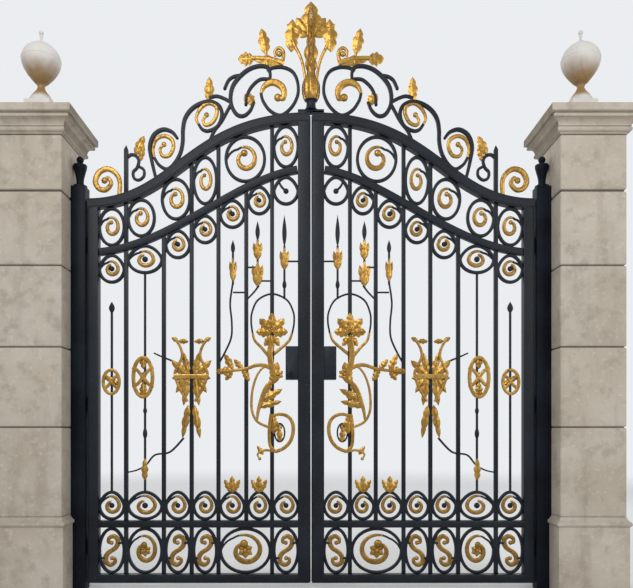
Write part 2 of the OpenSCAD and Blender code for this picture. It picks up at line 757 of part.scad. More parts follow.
module foliage() {
  plume_z = mid_top + ring_h;
  color(gilt) {
    on_face(-bar_w / 2) {
      band_plate();
      band_raised();
    }
    on_face(-slim_w / 2) {
      knot_plate();
      knot_raised();
    }
    on_face(-scroll_d / 2) {
      for (i = plumed_bays) all_leaves(plume, row_x(i), plume_z);
      for (i = plumed_bays) all_veins(plume, row_x(i), plume_z);
    }
    upright(scroll_d) difference() {
      translate([bar_x[0], band_z]) {
        ribbon(arm_left, 18, 26);
        ribbon(arm_right, 18, 26);
        translate([-57, -398]) polygon(rosette(20, 2));
      }
      slim_outline();
      bar_lines([0]);
    }
    difference() {
      upright(husk_d) {
        husk(spear_x[0], 790 * lift, 84, 167);
        husk(spear_x[1], 866 * lift, 84, 151);
        husk(spear_x[1], 664 * lift, 104, 190);
        husk(spear_x[2], 700 * lift, 66, 181);
      }
      upright(slim_w) slim_outline();
    }
  }
}
lock_w = 92;
lock_h = 250;
knob_ball_r = 17;
module lock_box(knob) {
  color(iron) translate([meet_out, -frame_d / 2, band_z - 40]) {
    cube([lock_w, frame_d, lock_h]);
    if (knob)
      translate([0.62 * lock_w, 0, 46]) rotate([90, 0, 0]) {
        cylinder(r = 24, h = 6);
        cylinder(r = 9, h = 36);
        translate([0, 0, 40]) sphere(r = knob_ball_r);
      }
  }
}

// Cresting above the top rail. A point is drawn as its distance from the gate's middle and its
// height above the rail, for a leaf and great scrolls of the drawn sizes.
drawn_half_w = 1680;
drawn_cresting_h = 403;
function on_rail(p) =
  let (x = p[0] * stile_out / drawn_half_w)
  [x, height(top_curve, 0, x) + p[1] * cresting_h / drawn_cresting_h];
function scroll(v) = smooth([for (p = v) on_rail(p)], 2);

// The great C-scroll with its volute, beside the finial
great_c = scroll([
  [432, 138], [460, 86], [508, 62], [560, 91], [598, 167], [608, 246], [588, 322], [530, 375],
  [460, 403], [385, 403], [325, 376], [308, 315], [322, 262]
]);
great_volute = scroll([
  [330, 351], [290, 370], [212, 363], [140, 323], [102, 244], [100, 146], [146, 56], [227, 3],
  [310, 50], [363, 134], [378, 195]
]);
inner_arc = scroll([[492, 142], [485, 199], [460, 251], [415, 289], [370, 301], [300, 284]]);
hook = scroll([[652, 328], [622, 377], [578, 387], [530, 375]]);
// The long S-scroll that steps down the slope, with a volute at each end
long_s = scroll([
  [850, 174], [820, 114], [772, 74], [703, 72], [673, 140], [696, 220], [764, 289], [840, 321],
  [908, 323], [953, 287], [968, 215], [970, 126], [988, 55], [1032, 10], [1088, 8], [1150, 84],
  [1185, 163]
]);
upper_tie = scroll([[606, 203], [660, 258], [718, 305], [772, 320]]);
lower_tie = scroll([[606, 187], [636, 144], [675, 93], [732, 48], [775, -26]]);
arch_scroll = scroll([
  [1165, -41], [1205, 155], [1218, 268], [1187, 334], [1120, 330], [1052, 263], [1012, 187]
]);
spike_scroll = scroll([
  [1396, 262], [1362, 277], [1325, 253], [1302, 204], [1316, 158], [1344, 139], [1338, 91],
  [1301, 59], [1264, 70], [1264, 116], [1294, 154]
]);
module cresting_outline() {
  for (v = [great_c, long_s, arch_scroll]) ribbon(v, scroll_t - 2, scroll_t - 2, 0, great_t - scroll_t + 2);
  for (v = [great_volute, inner_arc, hook, upper_tie, lower_tie]) ribbon(v, scroll_t, scroll_t);
  ribbon(spike_scroll, scroll_t, scroll_t - 4);
}
module cresting() {
  color(iron) upright(scroll_d) intersection() {
    difference() {
      cresting_outline();
      spike_line();
    }
    above_line(under_line(top_curve, 0));
  }
}
// Gilded ends of the scrolls, which wind in to a round eye
great_eye = scroll([[378, 195], [352, 244], [292, 262], [232, 230], [204, 180], [212, 128], [250, 140]]);
upper_eye = scroll([
  [850, 174], [868, 232], [838, 282], [778, 286], [722, 232], [712, 170], [744, 122], [796, 132],
  [816, 180], [790, 206]
]);
lower_eye = scroll([
  [1185, 165], [1194, 232], [1170, 288], [1112, 276], [1054, 208], [1040, 140], [1070, 100],
  [1122, 132], [1142, 196], [1112, 212]
]);
post_comma = scroll([
  [1452, -21], [1446, 95], [1470, 165], [1530, 218], [1598, 205], [1630, 140], [1606, 82], [1553, 64],
  [1512, 104], [1534, 150], [1562, 136]
]);
crest_curl = scroll([[206, 384], [182, 428], [192, 488], [232, 514], [264, 486], [244, 458]]);
leaf_stem = scroll([[452, 500], [360, 462], [280, 425], [205, 385]]);
tall_stem = scroll([[328, 374], [334, 440], [346, 530]]);
// Gilded leaves of the cresting: foot, tip and width
crest_leaves = [
  [[338, 490], [374, 684], 92], [[432, 490], [556, 548], 112], [[770, 291], [768, 478], 80],
  [[1328, 262], [1262, 372], 74], [[1300, 196], [1262, 300], 52], [[500, 225], [430, 122], 92]
];
module gilt_part(d) {
  upright(d) intersection() {
    difference() {
      children();
      cresting_outline();
      spike_line();
    }
    above_line(under_line(top_curve, 0));
  }
}
module cresting_leaves() {
  color(gilt) {
    gilt_part(scroll_d) {
      ribbon(great_eye, 22, 30, 30, 26);
      ribbon(upper_eye, 20, 20, 20, 10);
      ribbon(lower_eye, 20, 20, 20, 10);
      ribbon(post_comma, 30, 26, 24, 12);
      ribbon(crest_curl, 20, 14, 14);
      ribbon(leaf_stem, 28, 40);
      ribbon(tall_stem, 26, 20);
    }
    gilt_part(gilt_d)
      for (l = crest_leaves) leaf(on_rail(l[0]), on_rail(l[1]), l[2], 3);
    gilt_part(gilt_d + 2 * vein_out)
      for (l = crest_leaves) vein(on_rail(l[0]), on_rail(l[1]), l[2]);
  }
}

// Gilded finial over the meeting stiles, carried by the left leaf and clear of the right one
finial_gap = 7;
foot_t = 14;
// The finial above its foot plate, at the drawn height
drawn_finial_h = 826;
finial_stem = [
  [58, 0], [40, 22], [36, 60], [56, 86], [68, 118], [70, 160], [68, 198], [56, 236], [36, 268],
  [38, 312], [42, 368], [38, 425], [27, 500], [24, 600], [30, 680], [20, 760], [0, 790]
];
finial_strip = smooth([
  [52, 246], [72, 310], [88, 375], [102, 440], [110, 505], [104, 562], [66, 622], [0, 640]
], 2);
module finial_crown() {
  leaf([24, 570], [124, 708], 96, 2);
  leaf([0, 548], [0, drawn_finial_h], 180, 3);
}
module finial_half() {
  ribbon(finial_strip, 26, 34);
  leaf([108, 444], [172, 656], 118, 3);
  finial_crown();
}
module centre_finial() {
  body_z = crown_h + finial_gap + foot_t;
  color(gilt) translate([pier_x, 0, 0]) {
    mirror([1, 0, 0]) upright(frame_d) intersection() {
      between(meet_in, meet_out, crown_h - 100, crown_h + finial_gap + foot_t / 2);
      above_line(under_line(top_curve, 0));
    }
    translate([-meet_out, -frame_d / 2, crown_h + finial_gap]) cube([2 * meet_out, frame_d, foot_t]);
    translate([0, 0, body_z]) scale((finial_h - finial_gap - foot_t) / drawn_finial_h) {
      rotate_extrude() polygon(concat([[0, 0]], smooth(finial_stem, 2)));
      upright(finial_leaf_d) for (k = [0, 1]) mirror([k, 0]) finial_half();
      rotate(90) upright(finial_leaf_d) for (k = [0, 1]) mirror([k, 0]) finial_crown();
    }
  }
}

half_gate(-1) pier_plinth();  // left_pier_plinth
half_gate(-1) pier_shaft();  // left_pier_shaft
half_gate(-1) pier_cap();  // left_pier_cap
half_gate(-1) pier_urn();  // left_pier_urn
half_gate(-1) iron_post();  // left_iron_post
half_gate(1) pier_plinth();  // right_pier_plinth
half_gate(1) pier_shaft();  // right_pier_shaft
half_gate(1) pier_cap();  // right_pier_cap
half_gate(1) pier_urn();  // right_pier_urn
half_gate(1) iron_post();  // right_iron_post
half_gate(-1) hanging_stile();  // left_hanging_stile
half_gate(-1) meeting_stile();  // left_meeting_stile
half_gate(-1) top_rail();  // left_top_rail
half_gate(-1) arch_rail();  // left_arch_rail
half_gate(-1) mid_rail();  // left_mid_rail
half_gate(-1) bottom_rail();  // left_bottom_rail
half_gate(-1) leaf_hinges();  // left_leaf_hinges
half_gate(-1) bars();  // left_bars
half_gate(-1) slim_bars();  // left_slim_bars
half_gate(-1) head_rings();  // left_head_rings
half_gate(-1) ring_rows();  // left_ring_rows
half_gate(-1) base_rings();  // left_base_rings
half_gate(-1) gilt_curls();  // left_gilt_curls
half_gate(-1) cresting();  // left_cresting
half_gate(-1) cresting_leaves();  // left_cresting_leaves
half_gate(-1) foliage();  // left_foliage
half_gate(-1) lock_box(true);  // left_lock_box
centre_finial();
half_gate(1) hanging_stile();  // right_hanging_stile
half_gate(1) meeting_stile();  // right_meeting_stile
half_gate(1) top_rail();  // right_top_rail
half_gate(1) arch_rail();  // right_arch_rail
half_gate(1) mid_rail();  // right_mid_rail
half_gate(1) bottom_rail();  // right_bottom_rail
half_gate(1) leaf_hinges();  // right_leaf_hinges
half_gate(1) bars();  // right_bars
half_gate(1) slim_bars();  // right_slim_bars
half_gate(1) head_rings();  // right_head_rings
half_gate(1) ring_rows();  // right_ring_rows
half_gate(1) base_rings();  // right_base_rings
half_gate(1) gilt_curls();  // right_gilt_curls
half_gate(1) cresting();  // right_cresting
half_gate(1) cresting_leaves();  // right_cresting_leaves
half_gate(1) foliage();  // right_foliage
half_gate(1) lock_box(false);  // right_lock_box
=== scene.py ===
import math

import bmesh
import bpy
from mathutils import Matrix, Vector


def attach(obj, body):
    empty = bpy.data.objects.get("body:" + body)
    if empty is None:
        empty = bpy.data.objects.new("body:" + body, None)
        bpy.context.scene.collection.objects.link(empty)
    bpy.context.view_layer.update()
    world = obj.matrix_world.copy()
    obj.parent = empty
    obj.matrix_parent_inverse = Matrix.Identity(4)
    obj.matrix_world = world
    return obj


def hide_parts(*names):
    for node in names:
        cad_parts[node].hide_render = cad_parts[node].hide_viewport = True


# Wrought iron driveway gate between stone piers. The ironwork is set out in millimetres, across from
# the middle of the gate and up from the ground. One half is made: it is the right half, and its
# mirror the left.
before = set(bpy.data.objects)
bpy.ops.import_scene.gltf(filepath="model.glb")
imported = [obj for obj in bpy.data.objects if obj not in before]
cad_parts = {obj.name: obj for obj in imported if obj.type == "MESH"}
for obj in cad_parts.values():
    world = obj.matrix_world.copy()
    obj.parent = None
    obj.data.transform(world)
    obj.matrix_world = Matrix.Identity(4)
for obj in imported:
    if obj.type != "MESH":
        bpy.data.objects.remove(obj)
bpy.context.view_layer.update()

MM = 0.001
GATE_X = 2.04
LEAVES = ("left_leaf", "right_leaf")
PIERS = ("piers", "piers")

# Sizes of the drawing, as in the part
MEET_IN, MEET_OUT, STILE_IN, STILE_OUT, POST_IN, PIER_IN, PIER_X = 7, 99, 1600, 1680, 1692, 1800, 2040
GROUND_GAP, BASE_Z, MID_Z, MID_TOP = 50, 112, 466, 516
SIDE_H, CROWN_H, DROP_SIDE, DROP_CROWN = 2943, 3590, 375, 390
FRAME_D, TOP_T, ARCH_T, ARCH_D = 75, 74, 54, 50
BAR_W, SLIM_W, SCROLL_T, SCROLL_D, GREAT_T = 30, 16, 24, 28, 31
RING_H, BAND_Z, LET_IN, CURL_W = 226, 1620, 12, 15
LEAF_W, CLEAR_W = STILE_OUT - MEET_IN, STILE_IN - MEET_OUT
BAR_X = [MEET_OUT + share * CLEAR_W for share in (0.13, 0.26, 0.4, 0.535, 0.675, 0.865)]
HEAD_BARS, BASE_BARS = (0, 2, 3, 5), (0, 2, 3, 4, 5)
FIRST, LAST = MEET_OUT - BAR_W / 2, STILE_IN + BAR_W / 2
EDGE = [FIRST] + BAR_X + [LAST]
HEAD_EDGE = [FIRST] + [BAR_X[i] for i in HEAD_BARS] + [LAST]
BASE_EDGE = [FIRST] + [BAR_X[i] for i in BASE_BARS] + [LAST]
SINK = 8
# Steps round a ring, and the distance within which points of a mesh are welded
RING_STEPS, WELD = 52, 0.02
TOP = [
    (STILE_OUT, SIDE_H), (STILE_OUT - 0.39 * LEAF_W, SIDE_H),
    (MEET_IN + 0.56 * LEAF_W, CROWN_H), (MEET_IN, CROWN_H),
]
ARCH = [
    (STILE_OUT, SIDE_H - DROP_SIDE), (STILE_OUT - 0.36 * LEAF_W, SIDE_H - DROP_SIDE),
    (MEET_IN + 0.31 * LEAF_W, CROWN_H - DROP_CROWN), (MEET_IN, CROWN_H - DROP_CROWN),
]


# Setting out

def bezier(p, t):
    k = ((1 - t) ** 3, 3 * (1 - t) ** 2 * t, 3 * (1 - t) * t * t, t ** 3)
    return [sum(w * q[i] for w, q in zip(k, p)) for i in (0, 1)]


def under(p, depth, t):
    """Point at the share t of a rail's line, at a depth under its upper edge."""
    k = ((1 - t) ** 2, 2 * (1 - t) * t, t * t)
    dx, dz = (sum(w * (p[j + 1][i] - p[j][i]) for j, w in enumerate(k)) for i in (0, 1))
    n = math.hypot(dx, dz)
    x, z = bezier(p, t)
    return [x - depth * dz / n, z + depth * dx / n]


def rail_line(p, depth, steps=72):
    return [under(p, depth, i / steps) for i in range(steps + 1)]


def height(p, depth, x):
    """Height of that line at a place x, found by halving."""
    lo, hi = 0.0, 1.0
    for _ in range(24):
        mid = (lo + hi) / 2
        if under(p, depth, mid)[0] > x:
            lo = mid
        else:
            hi = mid
    return under(p, depth, (lo + hi) / 2)[1]


def smooth(v, n=6):
    """Smooth line through set points, in n steps from each to the next."""
    line = []
    for i in range(len(v) - 1):
        q = (v[max(i - 1, 0)], v[i], v[i + 1], v[min(i + 2, len(v) - 1)])
        for j in range(n):
            t = j / n
            line.append([
                0.5 * (
                    2 * b + (c - a) * t + (2 * a - 5 * b + 4 * c - d) * t * t
                    + (3 * b - a - 3 * c + d) * t ** 3
                )
                for a, b, c, d in zip(*q)
            ])
    return line + [list(v[-1])]


def at(x, points, z=BAND_Z):
    """Points that are given from a place on a bar, across and up."""
    return [[x + p[0], z + p[1]] for p in points]


def on_rail(p):
    """Point over the top rail: its height is given from the rail's upper edge."""
    return [p[0], height(TOP, 0, p[0]) + p[1]]


def scroll(points):
    """Smooth line over the top rail."""
    return smooth([on_rail(p) for p in points])


def bent(x, points, z=BAND_Z):
    """Smooth line at a place on a bar."""
    return smooth(at(x, points, z))


def bay(x0, x1):
    """Middle and half width of a ring between two bars, let into both."""
    return (x0 + x1) / 2, (x1 - x0 - BAR_W) / 2 + LET_IN


def row_x(i):
    return (EDGE[i] + EDGE[i + 1]) / 2


def head_mid(x):
    return (height(TOP, TOP_T, x) + height(ARCH, 0, x)) / 2


def head_half(x, half_w):
    """Half height at which an oval of that half width just touches both rails."""
    reach = 20
    s = math.atan2(head_mid(x - reach) - head_mid(x + reach), 2 * reach)
    p = (height(TOP, TOP_T, x) - height(ARCH, 0, x)) * math.cos(s) / 2 + 1
    return math.sqrt(max(p * p - (half_w * math.sin(s)) ** 2, 1)) / math.cos(s)


def oval(half_w, half_h, peak=0.0):
    """Ring, from its top. Peak is the share by which its upper half narrows."""
    turn = [2 * math.pi * i / RING_STEPS for i in range(RING_STEPS)]
    return [
        [half_w * math.sin(a) * (1 - peak * max(0, math.cos(a))), half_h * math.cos(a)] for a in turn
    ]


# A curl's size, as a share of its ring's: where it starts on the ring and where it ends. CURL_CLEAR is
# the share of its length at which it is off the ring.
CURL_START, CURL_END, CURL_CLEAR = 1.03, 0.3, 0.13
# Degrees round the ring, from its top: the start, and the turn to the end
CURL_FROM, CURL_TURN = 100, 450


def curl_line(half_w, half_h, peak, t0, t1, n, fill):
    """Curl inside a ring: it leaves the ring, turns over its top and winds in to the eye. Fill is its
    size, as a share of the ring's, once it is off the ring."""
    line = []
    for i in range(n + 1):
        t = t0 + (t1 - t0) * i / n
        a = math.radians(CURL_FROM - CURL_TURN * t)
        if t < CURL_CLEAR:
            k = CURL_START - (CURL_START - fill) * t / CURL_CLEAR
        else:
            k = fill + (CURL_END - fill) * (t - CURL_CLEAR) / (1 - CURL_CLEAR)
        r = k * (half_w - SCROLL_T / 2)
        line.append([
            r * math.sin(a) * (1 - peak * k * max(0, math.cos(a))),
            (r + k ** 1.5 * (half_h - half_w)) * math.cos(a),
        ])
    return line


# Hand tools

def pick(*pieces):
    if bpy.context.mode != "OBJECT":
        bpy.ops.object.mode_set(mode="OBJECT")
    bpy.ops.object.select_all(action="DESELECT")
    for piece in pieces:
        piece.select_set(True)
        bpy.context.view_layer.objects.active = piece


def joined(parts):
    pick(*parts)
    if len(parts) > 1:
        bpy.ops.object.join()
    return bpy.context.object


def placed(name, data):
    """New object of a mesh, curve, lamp or camera."""
    made = bpy.data.objects.new(name, data)
    bpy.context.scene.collection.objects.link(made)
    return made


def twin(piece):
    """Copy of a piece, with its own mesh."""
    made = piece.copy()
    made.data = piece.data.copy()
    bpy.context.scene.collection.objects.link(made)
    return made


def edit_all(piece):
    """Goes into edit mode with the whole piece selected."""
    pick(piece)
    bpy.ops.object.mode_set(mode="EDIT")
    bpy.ops.mesh.select_all(action="SELECT")


def closed_up(piece):
    """Welds what meets and turns every face outwards."""
    edit_all(piece)
    bpy.ops.mesh.remove_doubles(threshold=WELD * MM)
    bpy.ops.mesh.normals_make_consistent(inside=False)
    bpy.ops.object.mode_set(mode="OBJECT")
    return piece


def worked(piece, kind, **settings):
    """Adds a modifier and applies it."""
    pick(piece)
    tool = piece.modifiers.new(kind.lower(), kind)
    for key, value in settings.items():
        setattr(tool, key, value)
    bpy.ops.object.modifier_apply(modifier=tool.name)
    return piece


def eased(piece, width, segments=2, angle=40):
    """Rounds the arrises."""
    return worked(
        piece, "BEVEL", width=width * MM, segments=segments, limit_method="ANGLE",
        angle_limit=math.radians(angle), harden_normals=False,
    )


def choose_faces(piece, wanted):
    """Goes into edit mode with the faces selected whose normal passes."""
    pick(piece)
    bpy.ops.object.mode_set(mode="EDIT")
    bpy.ops.mesh.select_all(action="DESELECT")
    bpy.ops.mesh.select_mode(type="FACE")
    shape = bmesh.from_edit_mesh(piece.data)
    for face in shape.faces:
        face.select_set(bool(wanted(face.normal)))
    bmesh.update_edit_mesh(piece.data)


def block(x0, x1, z0, z1, half_y, ease, segments=2, raised=None, y=0):
    """Squared bar or stone, with its half depth and its middle's. Raised is the margin and height of a
    raised field."""
    pick()
    middle = ((x0 + x1) / 2 * MM, y * MM, (z0 + z1) / 2 * MM)
    bpy.ops.mesh.primitive_cube_add(size=1, location=middle)
    piece = bpy.context.object
    piece.scale = ((x1 - x0) * MM, 2 * half_y * MM, (z1 - z0) * MM)
    bpy.ops.object.transform_apply(location=True, rotation=True, scale=True)
    if raised:
        choose_faces(piece, lambda normal: abs(normal.y) > 0.9)
        bpy.ops.mesh.inset(thickness=raised[0] * MM, depth=raised[1] * MM, use_individual=True)
        bpy.ops.object.mode_set(mode="OBJECT")
    return eased(piece, ease, segments) if ease else piece


def ball(x, z, r, squash=1.0, steps=18, y=0):
    """Ball, flattened from front to back to the share squash."""
    pick()
    bpy.ops.mesh.primitive_uv_sphere_add(
        segments=steps, ring_count=steps * 2 // 3, radius=r * MM, location=(x * MM, y * MM, z * MM)
    )
    piece = bpy.context.object
    piece.scale = (1, squash, 1)
    bpy.ops.object.transform_apply(location=True, rotation=True, scale=True)
    return piece


def turned(outline, x, z, steps=48, square=False):
    """Outline of radius and height, spun about an upright line. A square moulding is spun in four steps
    from its corner."""
    mesh = bpy.data.meshes.new("turned")
    points = [(r * MM, r * MM if square else 0, z * MM) for r, z in outline]
    mesh.from_pydata(points, [(i, i + 1) for i in range(len(points) - 1)], [])
    piece = placed("turned", mesh)
    edit_all(piece)
    bpy.ops.mesh.spin(steps=4 if square else steps, angle=2 * math.pi, center=(0, 0, 0), axis=(0, 0, 1))
    bpy.ops.object.mode_set(mode="OBJECT")
    closed_up(piece)
    piece.data.transform(Matrix.Translation((x * MM, 0, z * MM)))
    return piece


SECTIONS = []


def section(name, depth, corner, n=3):
    """Section of a bar, one unit thick and so many deep, with rounded corners."""
    points = []
    for sx, sy, start in ((1, 1, 0), (-1, 1, 90), (-1, -1, 180), (1, -1, 270)):
        for i in range(n):
            a = math.radians(start + 90 * i / (n - 1))
            x, y = sx * (0.5 - corner), sy * (depth / 2 - corner)
            points.append((x + corner * math.cos(a), y + corner * math.sin(a)))
    return drawn_section(name, points)


def flat_curve(name, bars, unit=1.0):
    """Flat curve of bars. A bar is its line, its thickness along it and, for a ring, True."""
    curve = bpy.data.curves.new(name, "CURVE")
    curve.dimensions = "2D"
    for line, widths, *ring in bars:
        spline = curve.splines.new("POLY")
        spline.points.add(len(line) - 1)
        for point, (x, z), w in zip(spline.points, line, widths):
            point.co = (x * unit, z * unit, 0, 1)
            point.radius = w * unit
        spline.use_cyclic_u = bool(ring)
    return curve


def drawn_section(name, points):
    SECTIONS.append(placed(name, flat_curve(name, [ringed(points, 1)])))
    return SECTIONS[-1]


def forged(bars, shape):
    """Bars of a section, bent along flat lines and stood up."""
    curve = flat_curve("bent_bars", bars, MM)
    curve.fill_mode = "NONE"
    curve.bevel_mode = "OBJECT"
    curve.bevel_object = shape
    curve.use_fill_caps = True
    pick(placed("bent_bars", curve))
    bpy.ops.object.convert(target="MESH")
    piece = bpy.context.object
    piece.data.transform(Matrix.Rotation(math.radians(90), 4, "X"))
    return closed_up(piece)


def pressed(piece, half_depth, face=0.0):
    """Presses a bent bar to an even depth, and lays it on a face."""
    for v in piece.data.vertices:
        v.co.y = (face + half_depth * math.tanh(v.co.y / MM / half_depth)) * MM
    return piece


def even(line, width):
    return line, [width] * len(line)


def ringed(line, width):
    return line, [width] * len(line), True


def tapered(line, start, end, swell=0.0):
    """Bar whose thickness goes from start to end, and swells in the middle."""
    n = len(line) - 1
    return line, [
        start + (end - start) * i / n + swell * math.sin(math.pi * i / n) for i in range(n + 1)
    ]


def comma(line, start, end, eye, swell):
    """Bar that is full in the middle and ends in a round eye: the bar, and the eye's place and size."""
    kept = [p for p in line if math.dist(p, line[-1]) > 0.6 * eye]
    return tapered(kept, start, end, swell), (line[-1], eye)


SMALL_EYE = 16


def eyes(places):
    """Round eyes of curls. The small ones are full balls, and the larger are the flatter the larger."""
    return [
        ball(*p, r, 0.8 * (0.5 + 8 / r) if r > SMALL_EYE else 1.0) for p, r in places
    ]


# A leaf's form, in shares: the cuts between its lobes and its least width, of its width, the dome and
# the vein, of its rise, and the vein's width, of half its own
LOBE_CUT, LEAST_W, DOME, VEIN, VEIN_W = 0.3, 0.03, 0.68, 0.32, 0.16


def blade_width(t, lobes):
    """Width of a blade at the share t of its length, as a share of its full width."""
    full = math.sin(math.pi * min(max(t, 0.0), 1.0) ** 0.8)
    if lobes:
        full = full ** 0.7 * (1 - LOBE_CUT * (1 - abs(math.sin(lobes * math.pi * t))))
    return full


def leaf(foot, tip, width, lobes=3, face=0.0, rise=None, rim=3.0, both=True, curl=0.0):
    """Chased leaf from foot to tip: domed, with a vein, and a furrow to each cut between its lobes. Its
    back lies on the depth `face`, or it is raised on both sides of the gate's middle plane."""
    length = math.dist(foot, tip)
    dx, dz = (tip[0] - foot[0]) / length, (tip[1] - foot[1]) / length
    rise = rise or min(13.0, 0.15 * width + 2)
    pick()
    bpy.ops.mesh.primitive_grid_add(x_subdivisions=10, y_subdivisions=8 * max(lobes, 2), size=2)
    piece = bpy.context.object
    for v in piece.data.vertices:
        s, t = v.co.x, (v.co.y + 1) / 2
        half = max(width / 2 * blade_width(t, lobes), LEAST_W * width)
        along = length * t + 0.3 * half * abs(s) ** 1.6 * (1 - t)
        lobing = abs(math.sin(lobes * math.pi * t)) if lobes else 1.0
        furrow = (1 - lobing) ** 1.5 * abs(s) ** 0.7
        arch = math.sin(math.pi * t ** 0.8) ** 0.5 if 0 < t < 1 else 0.0
        dome = DOME * (1 - abs(s) ** 2.2) * (1 - 0.5 * furrow)
        vein = VEIN * math.exp(-((s / VEIN_W) ** 2))
        y = face - rim - rise * arch * (dome + vein) - curl * t ** 4
        x, z = foot[0] + along * dx - s * half * dz, foot[1] + along * dz + s * half * dx
        v.co = (x * MM, y * MM, z * MM)
    edit_all(piece)
    bpy.ops.mesh.region_to_loop()
    bpy.ops.mesh.extrude_edges_move(TRANSFORM_OT_translate={"value": (0, 0, 0)})
    shape = bmesh.from_edit_mesh(piece.data)
    for v in shape.verts:
        if v.select:
            v.co.y = face * MM
    bmesh.update_edit_mesh(piece.data)
    if not both:
        bpy.ops.mesh.edge_face_add()
    bpy.ops.object.mode_set(mode="OBJECT")
    if both:
        worked(piece, "MIRROR", use_axis=(False, True, False), merge_threshold=0.0001)
    return closed_up(piece)


def softened(node, ease, angle=50):
    """A CAD node's shape, welded and with its arrises rounded, moved to the drawing's own middle."""
    piece = twin(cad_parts[node])
    piece.parent = None
    for key in list(piece.keys()):
        del piece[key]
    edit_all(closed_up(piece))
    bpy.ops.mesh.dissolve_limited(angle_limit=math.radians(0.5))
    bpy.ops.object.mode_set(mode="OBJECT")
    piece.data.transform(Matrix.Translation((-GATE_X, 0, 0)))
    return eased(piece, ease, angle=angle)


def finish_piece(piece, name, body, node, slot, finish, angle=35):
    """Names a piece, puts it on its body and gives it its finish. Arrises over the angle stay sharp."""
    pick(piece)
    bpy.ops.object.shade_smooth_by_angle(angle=math.radians(angle))
    piece.name = piece.data.name = name
    piece.data.materials.clear()
    piece.data.materials.append(finish)
    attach(piece, body)
    if node:
        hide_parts(node)
    return piece


def both_halves(parts, name, node, finish, bodies=LEAVES, angle=35):
    """The drawn half becomes the right one and its mirror the left, each in place of its own node."""
    right = joined(parts)
    left = twin(right)
    right.data.transform(Matrix.Translation((GATE_X, 0, 0)))
    left.data.transform(Matrix.Translation((GATE_X, 0, 0)) @ Matrix.Scale(-1, 4, (1, 0, 0)))
    closed_up(left)
    for piece, side, body in ((left, "left", bodies[0]), (right, "right", bodies[1])):
        own_node = f"{side}_{node}" if node else None
        finish_piece(piece, f"{side}_{name}", body, own_node, *FINISHES[finish], angle)


# Finishes

class Value:
    """A varying number of a finish. Sums and products of it add their Math nodes."""

    def __init__(self, finish, socket):
        self.finish, self.socket = finish, socket

    def maths(self, operation, a, b, clamp=False):
        settings = {"operation": operation, "use_clamp": clamp}
        return self.finish.node("ShaderNodeMath", settings, {0: a, 1: b})

    def __add__(self, other):
        return self.maths("ADD", self, other)

    def __sub__(self, other):
        return self.maths("SUBTRACT", self, other)

    def __rsub__(self, other):
        return self.maths("SUBTRACT", other, self)

    def __mul__(self, other):
        return self.maths("MULTIPLY", self, other)

    __radd__, __rmul__ = __add__, __mul__

    def clamped(self):
        return self.maths("ADD", self, 0.0, clamp=True)

    def between(self, low, high):
        """0 below low, 1 above high and smooth between them."""
        sockets = {"Value": self, "From Min": low, "From Max": high}
        return self.finish.node("ShaderNodeMapRange", {"interpolation_type": "SMOOTHSTEP"}, sockets)


class Finish:
    """The node tree of one finish, or of the light of the room."""

    def __init__(self, name, store=bpy.data.materials):
        self.owner = store.new(name)
        self.owner.use_nodes = True
        self.tree = self.owner.node_tree
        self.tree.nodes.clear()

    def node(self, kind, settings=None, sockets=None, output=0):
        """Adds a node with its settings and its sockets' values or links, and gives one of its outputs."""
        made = self.tree.nodes.new(kind)
        for key, value in (settings or {}).items():
            setattr(made, key, value)
        for key, value in (sockets or {}).items():
            if isinstance(value, Value):
                self.tree.links.new(value.socket, made.inputs[key])
            else:
                made.inputs[key].default_value = value
        return Value(self, made.outputs[output]) if made.outputs else None

    def place(self):
        return self.node("ShaderNodeTexCoord", output="Object")

    def part_of(self, vector, axis):
        """The share of a vector along one axis."""
        return self.node("ShaderNodeSeparateXYZ", {}, {"Vector": vector}, output=axis)

    def geometry(self, output):
        return self.node("ShaderNodeNewGeometry", output=output)

    def attribute(self, name):
        return self.node("ShaderNodeAttribute", {"attribute_name": name}, output="Fac")

    def noise(self, scale, detail, roughness=0.55, stretch=(1, 1, 1), seed=0.0):
        where = self.node("ShaderNodeMapping", {}, {
            "Vector": self.place(), "Scale": stretch, "Location": (seed, seed, seed)
        })
        return self.node("ShaderNodeTexNoise", {}, {
            "Vector": where, "Scale": scale, "Detail": detail, "Roughness": roughness
        })

    def mix(self, share, a, b):
        a, b = ((*c, 1) if isinstance(c, tuple) else c for c in (a, b))
        return self.node("ShaderNodeMix", {"data_type": "RGBA"}, {0: share, 6: a, 7: b}, output=2)

    def bump(self, height, depth, strength, below=None):
        sockets = {"Height": height, "Distance": depth * MM, "Strength": strength}
        if below:
            sockets["Normal"] = below
        return self.node("ShaderNodeBump", {}, sockets)

    def done(self, **sockets):
        named = {key.replace("_", " "): value for key, value in sockets.items()}
        return self.ended("ShaderNodeOutputMaterial", self.node("ShaderNodeBsdfPrincipled", {}, named))

    def ended(self, kind, shader):
        self.node(kind, {}, {"Surface": shader})
        return self.owner


